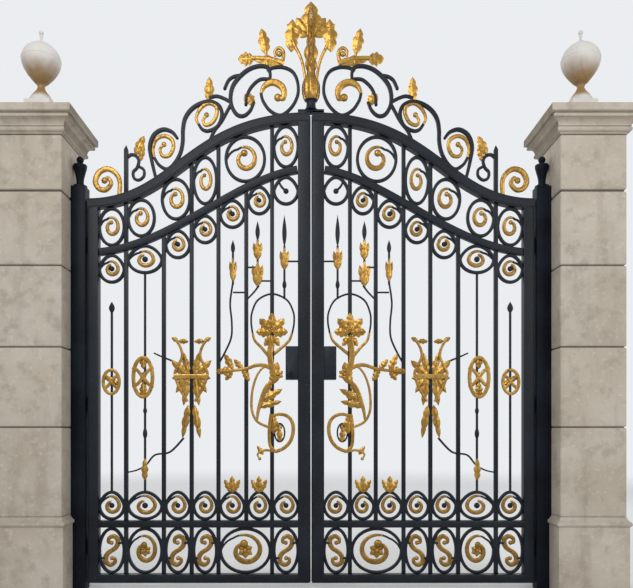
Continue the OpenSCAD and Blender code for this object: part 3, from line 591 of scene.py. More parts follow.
def limestone():
    f = Finish("limestone")
    cloud, grain, speck = f.noise(2.6, 5), f.noise(30, 6, 0.65), f.noise(170, 3, 0.7)
    patch = f.noise(9, 4, 0.6, seed=7.0)
    runs = f.noise(5.5, 5, 0.6, stretch=(1, 1, 0.16), seed=3.0)
    tone = f.attribute("tone")
    base = f.mix(cloud.between(0.34, 0.68), (0.370, 0.320, 0.254), (0.470, 0.421, 0.352))
    base = f.mix(tone * 0.5, base, (0.520, 0.457, 0.371))
    base = f.mix(patch.between(0.48, 0.70) * 0.60, base, (0.300, 0.259, 0.203))
    base = f.mix(runs.between(0.50, 0.76) * 0.50, base, (0.262, 0.220, 0.166))
    base = f.mix(grain.between(0.54, 0.70) * 0.42, base, (0.595, 0.543, 0.462))
    base = f.mix(speck.between(0.60, 0.72) * 0.50, base, (0.205, 0.174, 0.134))
    # Painted shade on the sides of the caps that face across the gate, mottled by the patches
    facing = f.part_of(f.geometry("Normal"), "X")
    z = f.part_of(f.place(), "Z")
    cap_side_shade = z.between(3.335, 3.345) * (facing * facing).between(0.3, 0.8)
    base = f.mix(cap_side_shade * (0.45 + 0.5 * patch), base, (0.150, 0.118, 0.082))
    pits = speck.between(0.58, 0.75) * -1.0
    normal = f.bump(grain * 0.7 + pits * 0.6 + patch * 1.2, 3.0, 0.8)
    normal = f.bump(speck, 0.7, 0.6, below=normal)
    return f.done(Base_Color=base, Roughness=0.86 + 0.10 * grain, Normal=normal)


def urn_stone():
    f = Finish("urn_stone")
    z = f.part_of(f.place(), "Z")
    cloud, grain, speck = f.noise(7, 5), f.noise(60, 5, 0.6), f.noise(260, 3, 0.7)
    runs = f.noise(16, 4, 0.6, stretch=(1, 1, 0.12), seed=5.0)
    base = f.mix(cloud, (0.56, 0.525, 0.485), (0.70, 0.675, 0.645))
    # The lower half is darker ochre: partly staining, partly painted shade
    low = 1.0 - (z + 0.07 * runs + 0.05 * cloud).between(3.90, 4.06)
    high = (z + 0.04 * runs).between(3.70, 3.76)
    stain_and_shade = low * high
    ochre = f.mix(grain, (0.120, 0.055, 0.008), (0.370, 0.205, 0.040))
    base = f.mix(stain_and_shade * 0.95, base, ochre)
    base = f.mix(speck.between(0.6, 0.72) * 0.3, base, (0.22, 0.18, 0.13))
    normal = f.bump(grain + 0.4 * speck, 1.0, 0.6)
    return f.done(Base_Color=base, Roughness=0.62 + 0.18 * grain - 0.22 * stain_and_shade, Normal=normal)


def black_iron(name, shine, shade):
    """Painted iron, with its gloss and the share of its scuffing and dust; the posts' darker copy, with
    less of both, is painted shade from the piers.
    """
    f = Finish(name)
    cloud, forge, skin = f.noise(3.2, 4), f.noise(46, 4, 0.5), f.noise(420, 2, 0.6)
    up = f.part_of(f.geometry("Normal"), "Z")
    base = f.mix(cloud.between(0.35, 0.68), (0.0034, 0.0055, 0.0090), (0.0085, 0.0128, 0.0195))
    base = f.mix(forge.between(0.58, 0.74) * 0.5 * shade, base, (0.020, 0.027, 0.037))
    dust = up.between(0.55, 0.98) * forge.between(0.35, 0.65) * 0.34 * shade
    base = f.mix(dust, base, (0.105, 0.100, 0.090))
    normal = f.bump(forge, 1.0, 0.55)
    normal = f.bump(skin, 0.25, 0.5, below=normal)
    rough = 0.33 + 0.22 * cloud + 0.25 * dust
    return f.done(Base_Color=base, Roughness=rough, Specular_IOR_Level=shine, Normal=normal)


def gilding():
    f = Finish("gilding")
    cloud, wear_and_glint_noise, skin = f.noise(9, 4), f.noise(55, 5, 0.62), f.noise(330, 2, 0.6)
    deep = f.attribute("tone")
    base = f.mix(cloud.between(0.3, 0.7), (0.285, 0.150, 0.026), (0.430, 0.248, 0.052))
    # Painted shade: by their tone, the curls in the rings and their eyes are a darker gold
    base = f.mix(deep * 0.50, base, (0.190, 0.104, 0.026))
    # Painted highlight on the ridges, and dark brown hollows: partly tarnish, partly painted shade
    ridge = f.geometry("Pointiness")
    hollow = 1 - ridge.between(0.42, 0.50)
    base = f.mix(ridge.between(0.52, 0.62) * 0.45, base, (0.720, 0.500, 0.180))
    wear_and_hollow_shade = (wear_and_glint_noise.between(0.48, 0.66) * 0.7 + hollow * 0.7).clamped()
    base = f.mix(wear_and_hollow_shade * 0.80, base, (0.070, 0.033, 0.008))
    # Painted glints: patches of brighter gold
    glint = wear_and_glint_noise.between(0.20, 0.40)
    base = f.mix((1 - glint) * 0.30, base, (0.740, 0.530, 0.210))
    normal = f.bump(wear_and_glint_noise, 1.2, 0.6)
    normal = f.bump(skin, 0.3, 0.5, below=normal)
    rough = 0.28 + 0.30 * wear_and_hollow_shade + 0.1 * cloud
    return f.done(Base_Color=base, Roughness=rough, Metallic=0.85 - 0.3 * wear_and_hollow_shade, Normal=normal)


def mortar():
    f = Finish("mortar")
    grain = f.noise(120, 5, 0.7)
    base = f.mix(grain, (0.070, 0.060, 0.048), (0.150, 0.132, 0.108))
    return f.done(Base_Color=base, Roughness=0.93, Normal=f.bump(grain, 1.2, 0.8))


FINISHES = {
    "limestone": ("limestone", limestone()),
    "urn": ("urn_stone", urn_stone()),
    "iron": ("black_iron", black_iron("black_iron", 0.22, 1.0)),
    # The posts' iron is a darker copy: painted shade of the piers
    "post": ("black_iron", black_iron("post_iron_painted_shade", 0.08, 0.4)),
    "gilt": ("gilding", gilding()),
    "mortar": ("limestone", mortar()),
}


# Bar sections, each one unit thick
FLAT_BAR = section("flat_bar", SCROLL_D / SCROLL_T, 0.24)
GREAT_BAR = section("great_bar", 1.12, 0.24)
SQUARE_BAR = section("square_bar", 1.0, 0.2)
GILT_BAR = drawn_section("gilt_bar", [
    (0.5 * abs(math.cos(a)) ** 0.8 * math.copysign(1, math.cos(a)),
     0.62 * abs(math.sin(a)) ** 0.8 * math.copysign(1, math.sin(a)))
    for a in (2 * math.pi * (i + 0.5) / 14 for i in range(14))
])
ARCH_BAR = section("arch_bar", ARCH_D / ARCH_T, 0.09, 4)


def moulded_rail():
    """Section of the top rail: a raised band along the middle of each face."""
    w, d, band, step, r = 0.5, FRAME_D / TOP_T / 2, 0.33, 0.045, 0.04
    quarter = [
        (w, 0.0), (w, d - step - r), (w - r, d - step), (band + r, d - step),
        (band, d - 0.3 * step), (band - 0.5 * r, d), (0, d),
    ]
    half = quarter + [(-x, y) for x, y in reversed(quarter[:-1])]
    return drawn_section("top_rail_section", half + [(x, -y) for x, y in reversed(half[1:-1])])


TOP_BAR = moulded_rail()
# Half depths of pressed bars: laid on a bar, standing on both sides, and over the top rail
LAID, STANDING, CREST_GILT, CREST_IRON = 9, 13, 15, 19


def gilt_band(bars, half_depth, face=0.0):
    return pressed(forged(bars, GILT_BAR), half_depth, face)


# Stone piers

PIER_HALF, POST_HALF, URN_HALF, URN_FOOT_HALF = PIER_X - PIER_IN, 54, 143, 95
PLINTH_TOP, CAP_FOOT, CAP_TOP = 570, 3336, 3586
URN_FOOT = CAP_TOP + 80
COURSES = [PLINTH_TOP, 1220, 1800, 2390, 2930, CAP_FOOT]
COURSE_TONES = [0.35, 0.7, 0.2, 0.55, 0.8]
# What each joint takes off the stones above and below it
JOINTS = [0, 4, 4, 4, 7, 3]
# The mortar lies back from the stones' faces
MORTAR_IN, MORTAR_Z = 14, (580, 3330)
# Outline of the urn's body, in shares of its half width
URN_SHARES = [
    (0.6, 0), (0.6, 0.18), (0.52, 0.32), (0.42, 0.46), (0.31, 0.6), (0.22, 0.75), (0.19, 0.88),
    (0.24, 1), (0.37, 1.11), (0.53, 1.3), (0.69, 1.5), (0.81, 1.69), (0.91, 1.88), (0.98, 2.08),
    (1, 2.28), (0.975, 2.47), (0.9, 2.66), (0.78, 2.83), (0.62, 2.98), (0.43, 3.11), (0.25, 3.21),
    (0.11, 3.31), (0.065, 3.44), (0.09, 3.58), (0.06, 3.66),
]
URN_BAND, URN_TOP = 2.28 * URN_HALF, 3.66 * URN_HALF


def shade_of(piece, value):
    """Gives a piece its own share of its finish's second tone."""
    layer = piece.data.attributes.new("tone", "FLOAT", "POINT")
    layer.data.foreach_set("value", [value] * len(piece.data.vertices))
    return piece


def arc(x, z, reach, rise, degrees):
    """Round of a moulding: its middle, its reach out and up, and its angles."""
    return [(x + reach * math.cos(a), z + rise * math.sin(a)) for a in map(math.radians, degrees)]


def pier_block(half, z0, z1, ease, segments=2):
    return block(PIER_X - half, PIER_X + half, z0, z1, half, ease, segments)


def pier_shafts():
    spans = zip(COURSES, COURSES[1:], JOINTS, JOINTS[1:], COURSE_TONES)
    stones = [
        shade_of(pier_block(PIER_HALF, z0 + under_it, z1 - over_it, 12, 4), tone)
        for z0, z1, under_it, over_it, tone in spans
    ]
    both_halves(stones, "pier_stones", "pier_shaft", "limestone", PIERS)
    mortar_bed = pier_block(PIER_HALF - MORTAR_IN, *MORTAR_Z, 2)
    both_halves([mortar_bed], "pier_mortar", None, "mortar", PIERS)


def pier_plinths():
    face, out, roll, r = 500, 16, 30, 16
    profile = [(0, 0), (PIER_HALF + out, 0), (PIER_HALF + out, face - 2), (PIER_HALF + out - 2, face)]
    profile += arc(PIER_HALF + roll - r, face + 20, r, 18, range(-70, 71, 14))
    profile += [(PIER_HALF + 4, PLINTH_TOP - 14), (PIER_HALF, PLINTH_TOP), (0, PLINTH_TOP)]
    plinth = turned(profile, PIER_X, 0, square=True)
    # The plinth is let round the iron post
    cutter = block(POST_IN, PIER_IN, -10, PLINTH_TOP + 70, POST_HALF, 0)
    plinth = worked(plinth, "BOOLEAN", object=cutter, operation="DIFFERENCE", solver="EXACT")
    bpy.data.objects.remove(cutter)
    plinth = shade_of(eased(plinth, 3, angle=60), 0.3)
    both_halves([plinth], "pier_plinth_stone", "pier_plinth", "limestone", PIERS)


def pier_caps():
    w, lip, z0, z1, z2, z3, z4 = PIER_HALF, 330, 3346, 3386, 3436, 3468, 3526
    profile = [(0, CAP_FOOT), (w, CAP_FOOT), (w + 8, CAP_FOOT), (w + 8, z0)]
    profile += arc(w + 10, z0 + 20, 20, 20, range(-75, 76, 15))
    profile += arc(lip - 20, z1, -46, 50, range(0, 91, 10))
    profile += [
        (lip - 18, z2 + 17), (lip - 21, z2 + 20), (lip - 28, z2 + 20), (lip - 28, z3), (lip - 6, z3),
        (lip, z3 + 6), (lip, z4 - 8), (lip - 3, z4 - 2), (lip - 9, z4), (URN_FOOT_HALF, CAP_TOP),
        (0, CAP_TOP),
    ]
    cap = shade_of(eased(turned(profile, PIER_X, 0, square=True), 3, angle=60), 0.75)
    both_halves([cap], "pier_cap_stone", "pier_cap", "limestone", PIERS)


def pier_urns():
    body = smooth([(URN_HALF * a, URN_HALF * b) for a, b in URN_SHARES], 3)
    r = URN_HALF + 2
    band = [(0, -3), (r - 2.5, -3), (r, 0), (r, 6), (r - 2.5, 9), (0, 9)]
    urn = [
        pier_block(URN_FOOT_HALF, CAP_TOP, URN_FOOT, 5, 3),
        turned([(0, 0)] + body + [(0, URN_TOP)], PIER_X, URN_FOOT, 64),
        turned(band, PIER_X, URN_FOOT + URN_BAND, 64),
        ball(PIER_X, URN_FOOT + URN_TOP + 14, 18, steps=24),
    ]
    both_halves([shade_of(part, 0.5) for part in urn], "pier_urn_stone", "pier_urn", "urn", PIERS)


def piers():
    pier_shafts()
    pier_plinths()
    pier_caps()
    pier_urns()
    # The posts take the darker iron, painted shade of the piers
    both_halves([softened("right_iron_post", 4)], "iron_post_forged", "iron_post", "post", PIERS, 45)


# Frame of a leaf

# Margin and height of the raised field of a stile
FIELD = (13, 3)
# The lip behind the meeting stile: how far it stands out and is let in, and its thickness
LIP_OUT, LIP_IN, LIP_T = 3.8, 4, 14


def frame_of_leaf():
    y = FRAME_D / 2
    stile_top = height(TOP, TOP_T, (STILE_IN + STILE_OUT) / 2) + SINK
    stile = block(STILE_IN, STILE_OUT, GROUND_GAP, stile_top, y - FIELD[1], 2.5, 2, FIELD)
    both_halves([stile], "hanging_stile_bar", "hanging_stile", "iron")
    # The lip narrows the light between the leaves
    lip_x, half_t = (MEET_IN - LIP_OUT, MEET_IN + LIP_IN), LIP_T / 2
    lip = block(*lip_x, GROUND_GAP, CROWN_H - 6, half_t, 1.2, 1, y=y - 1 - half_t)
    stile_top = CROWN_H - TOP_T + SINK
    stile = block(MEET_IN, MEET_OUT, GROUND_GAP, stile_top, y - FIELD[1], 2.5, 2, FIELD)
    both_halves([stile, lip], "meeting_stile_bar", "meeting_stile", "iron")
    top = forged([even(rail_line(TOP, TOP_T / 2), TOP_T)], TOP_BAR)
    both_halves([top], "top_rail_bar", "top_rail", "iron", angle=30)
    arch = [p for p in rail_line(ARCH, ARCH_T / 2, 110) if MEET_OUT - SINK < p[0] < STILE_IN + SINK]
    both_halves([forged([even(arch, ARCH_T)], ARCH_BAR)], "arch_rail_bar", "arch_rail", "iron")
    for name, z0, z1 in (("mid_rail", MID_Z, MID_TOP), ("bottom_rail", GROUND_GAP, BASE_Z)):
        rail = block(MEET_OUT - SINK, STILE_IN + SINK, z0, z1, y - 1, 3)
        both_halves([rail], f"{name}_bar", name, "iron")
    hinges = softened("right_leaf_hinges", 2)
    both_halves([hinges], "leaf_hinges_forged", "leaf_hinges", "iron", angle=45)
    for side, body in zip(("left", "right"), LEAVES):
        lock = softened(f"{side}_lock_box", 4, 60)
        lock.data.transform(Matrix.Translation((GATE_X, 0, 0)))
        finish_piece(lock, f"{side}_lock_case", body, f"{side}_lock_box", *FINISHES["iron"])


# Over the rail beside the hanging stile: how high the spike stands, its point and the point's size
SPIKE_H, SPIKE_POINT, SPIKE_TIP = 410, 36, 0.12


def bars():
    w = BAR_W / 2
    made = []
    for i, x in enumerate(BAR_X):
        runs = [(MID_TOP - SINK, height(ARCH, ARCH_T, x) + SINK)]
        if i in HEAD_BARS:
            runs.append((height(ARCH, 0, x) - SINK, height(TOP, TOP_T, x) + SINK))
        if i in BASE_BARS:
            runs.append((BASE_Z - SINK, MID_Z + SINK))
        made += [block(x - w, x + w, z0, z1, w, 3) for z0, z1 in runs]
    # The bar beside the hanging stile stands up above the rail as a spike
    x, top = BAR_X[5], SIDE_H + SPIKE_H
    spike = block(x - w, x + w, height(TOP, 0, x) - 3 * SINK, top - SPIKE_POINT, w, 0)
    choose_faces(spike, lambda normal: normal.z > 0.9)
    bpy.ops.mesh.extrude_region_move(TRANSFORM_OT_translate={"value": (0, 0, SPIKE_POINT * MM)})
    bpy.ops.transform.resize(value=(SPIKE_TIP, SPIKE_TIP, 1), center_override=(x * MM, 0, top * MM))
    bpy.ops.object.mode_set(mode="OBJECT")
    made.append(eased(spike, 2.5, angle=30))
    both_halves(made, "square_bars", "bars", "iron")


# Rings and their curls

# The fourth bay of the head holds two rings, and the wide second bay one that is narrower than the bay
SPLIT = (HEAD_EDGE[3] + HEAD_EDGE[4]) / 2 - 10
WIDE_BAY_HALF = 158
HEAD_BAYS = [
    bay(HEAD_EDGE[0], HEAD_EDGE[1]), ((HEAD_EDGE[1] + HEAD_EDGE[2]) / 2, WIDE_BAY_HALF),
    bay(HEAD_EDGE[2], HEAD_EDGE[3]), bay(HEAD_EDGE[3], SPLIT), bay(SPLIT + BAR_W, HEAD_EDGE[4]),
    bay(HEAD_EDGE[4], HEAD_EDGE[5]),
]
# How far the upper half of a ring in the two rows narrows
ROW_PEAK = 0.22


def ring_places():
    """Each row of rings: middle, half width, half height and how far the upper half narrows."""
    head = [(x, head_mid(x), half, head_half(x, half), 0.0) for x, half in HEAD_BAYS]
    rows = []
    for i in range(7):
        half = bay(EDGE[i], EDGE[i + 1])[1]
        for z in (height(ARCH, ARCH_T, row_x(i)) - RING_H / 2 + 2, MID_TOP + RING_H / 2):
            rows.append((row_x(i), z, half, RING_H / 2, ROW_PEAK))
    base_half = (MID_Z - BASE_Z) / 2
    bays = [bay(x0, x1) for x0, x1 in zip(BASE_EDGE, BASE_EDGE[1:])]
    base = [(x, BASE_Z + base_half, half, base_half, 0.0) for x, half in bays]
    return {"head_rings": head, "ring_rows": rows, "base_rings": base}


COMMA_SHARES = [(0.6, 0.8), (0.46, 0.46), (0.26, 0.2), (0, -0.04)]
COMMA_W, COMMA_EYE = 16, 21
S_HALF = smooth([(8, -5), (-26, 18), (-46, 52), (-41, 90), (-8, 108), (22, 90), (24, 62), (2, 58)])
# A ring of the base narrower than NARROW holds an S-scroll: thickness at its middle and ends, eye and
# swell. Its collars have a height, half their own height and depth, and reach from near the scroll to
# near the ring.
NARROW, S_SIZES = 120, (34, 20, 16, 8)
COLLAR_Z, COLLAR_H, COLLAR_D, COLLAR_FROM, COLLAR_TO = 57, 7, 14, 48, 16
# Size of a curl as a share of its ring's, in the upper rings and in the rows low down
FILL_HIGH, FILL_LOW = 0.6, 0.74
# The iron neck of a curl runs over the first share, and the gilded curl from the second to its end
NECK_TO, GILT_FROM = 0.21, 0.18
# Dark boss, gilded eye and rosette of a curl, as shares of its ring's size
BOSS, EYE, ROSE = 0.25, 0.2, 0.34
ROSE_BACK = 5


def s_scroll(x, z, half_w):
    """S-scroll of a narrow ring: its two bars with their eyes, and the collars that hold it."""
    halves, collars = [], []
    for k in (1, -1):
        halves.append(comma([(x + k * p[0], z + k * p[1]) for p in S_HALF], *S_SIZES))
        x0, x1 = sorted((x - k * (half_w - COLLAR_TO), x - k * COLLAR_FROM))
        middle = z + k * COLLAR_Z
        collars.append(block(x0, x1, middle - COLLAR_H, middle + COLLAR_H, COLLAR_D, 2.5))
    return halves, collars


def rings():
    gilt_bars, gilt_eyes, gilt_roses = [], [], []
    for node, places in ring_places().items():
        iron, collars = [], []
        for x, z, half_w, half_h, peak in places:
            ring = oval(half_w - SCROLL_T / 2, half_h - SCROLL_T / 2, peak)
            iron.append(ringed(at(x, ring, z), SCROLL_T))
            if node == "base_rings" and half_w < NARROW:
                halves, holders = s_scroll(x, z, half_w)
                gilt_bars += [bar for bar, _ in halves]
                gilt_eyes += [eye for _, eye in halves]
                collars += holders
                continue
            if node == "ring_rows" and x < BAR_X[0] and z > BAND_Z:
                # A plain comma hangs in the upper ring beside the meeting stile
                r = half_w - SCROLL_T / 2
                line = smooth([(x + r * a, z + r * b) for a, b in COMMA_SHARES])
                bar, (end, _) = comma(line, COMMA_W, COMMA_W, COMMA_EYE, 0)
                iron.append(bar)
                collars.append(ball(*end, COMMA_EYE, 0.66))
                continue
            # Low down the curls fill their rings, and in both rows they wind round a dark boss
            fill = FILL_HIGH if node == "head_rings" or z > BAND_Z else FILL_LOW
            neck = at(x, curl_line(half_w, half_h, peak, 0, NECK_TO, 16, fill), z)
            iron.append(tapered(neck, CURL_W + 1, CURL_W - 1))
            size = min(half_w, half_h) - SCROLL_T
            line = at(x, curl_line(half_w, half_h, peak, GILT_FROM, 1, 44, fill), z)
            gilt_bars.append(tapered(line, CURL_W + 2, CURL_W + 4, 0.15 * size))
            if node == "ring_rows":
                collars.append(ball(x, z, BOSS * size, 0.7))
            else:
                gilt_eyes.append((line[-1], EYE * size))
            if node == "base_rings":
                gilt_roses += rosette(x, z, ROSE * min(half_w, half_h), ROSE_BACK)
        both_halves([forged(iron, FLAT_BAR)] + collars, f"{node}_scrolls", node, "iron")
    # The curls, and less so their eyes and rosettes, are darkened by their tone: painted shade within the
    # rings
    curls = shade_of(gilt_band(gilt_bars, STANDING), 1.0)
    centres = [shade_of(part, 0.6) for part in eyes(gilt_eyes) + gilt_roses]
    both_halves([curls] + centres, "gilded_curls", "gilt_curls", "gilt", angle=60)


# Slim ironwork between the bars

def slim_bar(x, z0, z1):
    w = SLIM_W / 2
    return block(x - w, x + w, z0, z1, w, 1.6, 1)


def link(x0, x1, z):
    """Short bar from one upright to the next, at a height over the band."""
    w, z = 6, BAND_Z + z
    return block(x0, x1, z - w, z + w, w, 1.5, 1)


def bead(x, z, w, h):
    """Turned swelling on a slim bar, at a height over the band."""
    outline = [(w / 2 * blade_width(i / 10, 0), h * i / 10 - h / 2) for i in range(11)]
    return turned(outline, x, BAND_Z + z, 18)


def spear(x, z0, z1, point, w):
    """Slim bar with a flat spear head, between two heights over the band."""
    foot, tip = (x, BAND_Z + z1 - point), (x, BAND_Z + z1)
    return [slim_bar(x, BAND_Z + z0, foot[1] + 10), leaf(foot, tip, w, 0, rise=6, rim=2)]


SPEAR_X = [row_x(0) + 12, row_x(1) + 12, row_x(2) - 4]
# Spears: place, foot and tip over the band, and the point's length and width
SPEARS = [
    (row_x(6), MID_TOP + RING_H - BAND_Z - SINK, 550, 90, 44), (SPEAR_X[0], 570, 1206, 242, 34),
    (SPEAR_X[1], 654, 1160, 150, 34), (SPEAR_X[2], 680, 1017, 110, 32),
]
# Beads: place, height over the band, width and length
BEADS = [(row_x(5), -270, 30, 70), (row_x(5), -440, 34, 110), (SPEAR_X[0], 685, 32, 91)]
LINKS = [
    (MEET_OUT - 4, SPEAR_X[0], 855), (BAR_X[0], SPEAR_X[1], 707), (SPEAR_X[1], BAR_X[1], 810),
    (BAR_X[1], SPEAR_X[2], 620),
]
LOOP = bent(BAR_X[0], [
    (-150, 305), (-166, 390), (-160, 473), (-110, 565), (0, 609), (105, 565), (151, 473), (158, 390),
    (146, 305),
])
RISE = bent(BAR_X[2], [(0, 80), (-50, 170), (-96, 280), (-100, 400), (-88, 540), (-108, 690)])
UPPER_TENDRIL = bent(BAR_X[4], [(-90, 90), (-40, 112), (15, 134), (76, 162)])
LOWER_TENDRIL = bent(BAR_X[4], [
    (-150, -480), (-46, -586), (68, -609), (136, -685), (204, -723), (276, -740),
])
BAY_LINK = bent(BAR_X[1], [(-95, 672), (-60, 625), (-8, 570)])
SMALL_RING = at(BAR_X[0] - 57, oval(38, 69), BAND_Z - 440)


def slim_ironwork():
    x = row_x(5)
    upper = height(ARCH, ARCH_T, x) - RING_H + 2
    parts = [slim_bar(x, MID_TOP + RING_H - SINK, upper + SINK)]
    for sizes in SPEARS:
        parts += spear(*sizes)
    parts += [bead(*sizes) for sizes in BEADS] + [link(*sizes) for sizes in LINKS]
    parts.append(forged([
        even(LOOP, 14), even(RISE, 14), tapered(BAY_LINK, 14, 12), tapered(UPPER_TENDRIL, 16, 11),
        tapered(LOWER_TENDRIL, 16, 11), ringed(SMALL_RING, 12),
    ], SQUARE_BAR))
    both_halves(parts, "slim_ironwork", "slim_bars", "iron")


# Gilded foliage

# Leaves: foot, tip and width
PALMETTE_Z, PALMETTE_R = 348, 122
PALMETTE = [
    ((0, PALMETTE_Z - 30), (PALMETTE_R * math.sin(a), PALMETTE_Z - 8 + PALMETTE_R * math.cos(a)), 86)
    for a in map(math.radians, (-100, -50, 0, 50, 100))
] + [((0, 290), (-58, 214), 60), ((0, 290), (58, 214), 60), ((4, 300), (6, 150), 54)]
SPRAY = [
    ((286, 28), (408, 20), 74), ((296, 34), (356, 152), 60), ((222, 38), (286, 112), 52),
    ((222, 44), (170, -52), 56), ((300, 26), (350, -46), 52), ((-4, -78), (-42, 92), 92),
]
LOWER_LEAVES = [
    ((88, -206), (-78, -112), 66), ((100, -246), (-72, -204), 56), ((60, -150), (-6, -34), 56),
    ((-14, -452), (-8, -304), 84), ((-62, -514), (-52, -392), 50), ((66, -606), (112, -540), 40),
]
ACANTHUS = [
    ((20, 6), (62, 168), 54), ((12, -30), (150, 104), 74), ((14, -14), (146, -30), 64),
    ((30, -10), (58, -236), 62), ((16, 20), (116, -140), 62), ((22, -230), (66, -482), 58),
    ((96, 250), (22, 246), 44), ((96, 248), (148, 276), 40),
]
WREATH_LEAVES = [
    ((12, -170), (12, -60), 62), ((12, -70), (12, 20), 48), ((12, 140), (12, 40), 58),
    ((0, -800), (0, -635), 56),
]
ROUNDEL_LEAVES = [((-52, -80), (40, -10), 44), ((-10, -50), (52, -28), 34)]
PLUME = [((0, -20), (0, 112), 62), ((-6, -12), (-58, 84), 48), ((6, -12), (58, 84), 48)]
# Bands of the foliage: points, both widths and swell
BANDS = [
    ([(4, 262), (14, 190), (14, 120), (2, 60), (-14, 0)], 38, 46, 0),
    ([(0, 40), (60, 66), (120, 66), (190, 42), (290, 28), (386, 22)], 32, 20, 0),
    ([(0, -60), (40, -96), (64, -150), (84, -210), (104, -280), (112, -350)], 28, 14, 14),
    ([
        (16, 70), (70, 46), (112, -10), (142, -100), (154, -200), (146, -290), (106, -360), (28, -398),
    ], 14, 20, 2),
    ([
        (10, -322), (-50, -302), (-112, -314), (-152, -360), (-160, -430), (-138, -505), (-88, -558),
        (-24, -584),
    ], 22, 26, 4),
    ([(4, -300), (16, -380), (20, -470), (10, -545), (-36, -586)], 30, 22, 0),
]
TAIL = [(-24, -585), (34, -572), (84, -582), (108, -606), (92, -636)]
LYRE = [(118, 262), (80, 200), (68, 134), (98, 64), (122, 0), (86, -110), (26, -206)]
LYRE_BAR = [(-128, -17), (0, -17), (128, -17)]
ARMS = [
    [(-150, 312), (-128, 256), (-66, 198), (20, 128)], [(146, 312), (130, 256), (76, 198), (18, 128)],
]
# Tied rings: how far to the side, height over the band, both half sizes, width, the tie and its width
WREATH = (12, -22, 72, 148, 28, [(-80, 72), (-44, 54), (0, 0), (44, -54), (80, -72)], 22)
ROUNDEL = (0, -57, 60, 90, 24, [(-62, 52), (-34, 38), (0, 0), (34, -38), (62, -52)], 20)
# Husks: the spear's place, height over the band, width and length
HUSKS = [
    (SPEAR_X[0], 790, 84, 167), (SPEAR_X[1], 866, 84, 151), (SPEAR_X[1], 664, 104, 190),
    (SPEAR_X[2], 700, 66, 181),
]
# Each leaf or petal of a group lies this much in front of the one before, so that no backs coincide
OVERLAY = 0.25
PETALS = 6


def laid_leaves(leaves, x, face, curl=0.0, z=BAND_Z):
    """Leaves that lie on the face of a bar at x, each a little over the one before."""
    made = []
    for i, (foot, tip, w) in enumerate(leaves):
        foot, tip = (x + foot[0], z + foot[1]), (x + tip[0], z + tip[1])
        made.append(leaf(foot, tip, w, 3, face - OVERLAY * i, both=False, curl=curl))
    return made


def mirrored(points):
    return [(-p[0], p[1]) for p in points]


def rosette(x, z, r, face):
    """Small rosette of petals round a boss."""
    made = [ball(x, z, 0.3 * r, 0.8, 14, face - 9)]
    for i in range(PETALS):
        a = 2 * math.pi * (i + 0.5) / PETALS
        foot = (x + 0.1 * r * math.cos(a), z + 0.1 * r * math.sin(a))
        tip = (x + r * math.cos(a), z + r * math.sin(a))
        made.append(leaf(foot, tip, 0.75 * r, 0, face - OVERLAY * i, rise=6, rim=2, both=False))
    return made


def husk(x, z, w, h):
    """Three leaves that close round a spear."""
    foot = (x, BAND_Z + z)
    sides = [leaf(foot, (x + 0.36 * w * k, foot[1] + 0.86 * h), 0.5 * w, 2, rise=9) for k in (-1, 1)]
    front = leaf(foot, (x, foot[1] + h), 0.5 * w, 2, -SLIM_W / 2, rise=6, both=False)
    back = twin(front)
    back.data.transform(Matrix.Scale(-1, 4, (0, 1, 0)))
    return sides + [front, closed_up(back)]


def tied_ring(x, side, z, half_w, half_h, width, tie, tie_w):
    """Bars of a ring with two ties crossed in it."""
    x, z = x + side, BAND_Z + z
    bars = [ringed(at(x, oval(half_w, half_h), z), width)]
    return bars + [tapered(bent(x, line, z), tie_w, tie_w, 4) for line in (tie, mirrored(tie))]


def foliage():
    x0, x3, x5, x6 = BAR_X[0], BAR_X[3], row_x(5), row_x(6)
    face, slim_face = -BAR_W / 2, -SLIM_W / 2
    parts = laid_leaves(PALMETTE, x0, face, 3) + laid_leaves(SPRAY + LOWER_LEAVES, x0, face)
    other_side = [(*mirrored(ends), w) for *ends, w in ACANTHUS]
    parts += laid_leaves(ACANTHUS + other_side, x3, face, 2)
    parts += laid_leaves(WREATH_LEAVES, x5, slim_face) + laid_leaves(ROUNDEL_LEAVES, x6, slim_face)
    for i in (1, 2):
        parts += laid_leaves(PLUME, row_x(i), -SCROLL_D / 2, 2, MID_TOP + RING_H)
    parts += rosette(x0 - 44, BAND_Z, 46, face - 6)
    parts += rosette(x0, BAND_Z + PALMETTE_Z - 8, 30, face - 8)
    parts += rosette(x0 + 400, BAND_Z + 22, 24, face - 6)
    tail_bar, tail_eye = comma(bent(x0, TAIL), 18, 12, 12, 4)
    bands = [tapered(bent(x0, line), *sizes) for line, *sizes in BANDS] + [tail_bar]
    bands += [tapered(bent(x3, line), 18, 18, 4) for line in (LYRE, mirrored(LYRE))]
    bands.append(even(at(x3, LYRE_BAR), 36))
    slim_bands = tied_ring(x5, *WREATH) + tied_ring(x6, *ROUNDEL)
    arms = [tapered(bent(x0, arm), 18, 26) for arm in ARMS]
    parts += [
        gilt_band(bands, LAID, face - LAID),
        gilt_band(slim_bands, LAID, slim_face - LAID),
        gilt_band(arms, STANDING),
        ball(*tail_eye[0], 13, 0.8, y=face - LAID),
        ball(x0 - 57, BAND_Z - 398, 20, 0.6),
    ]
    for sizes in HUSKS:
        parts += husk(*sizes)
    both_halves(parts, "gilded_foliage", "foliage", "gilt", angle=50)


# Cresting

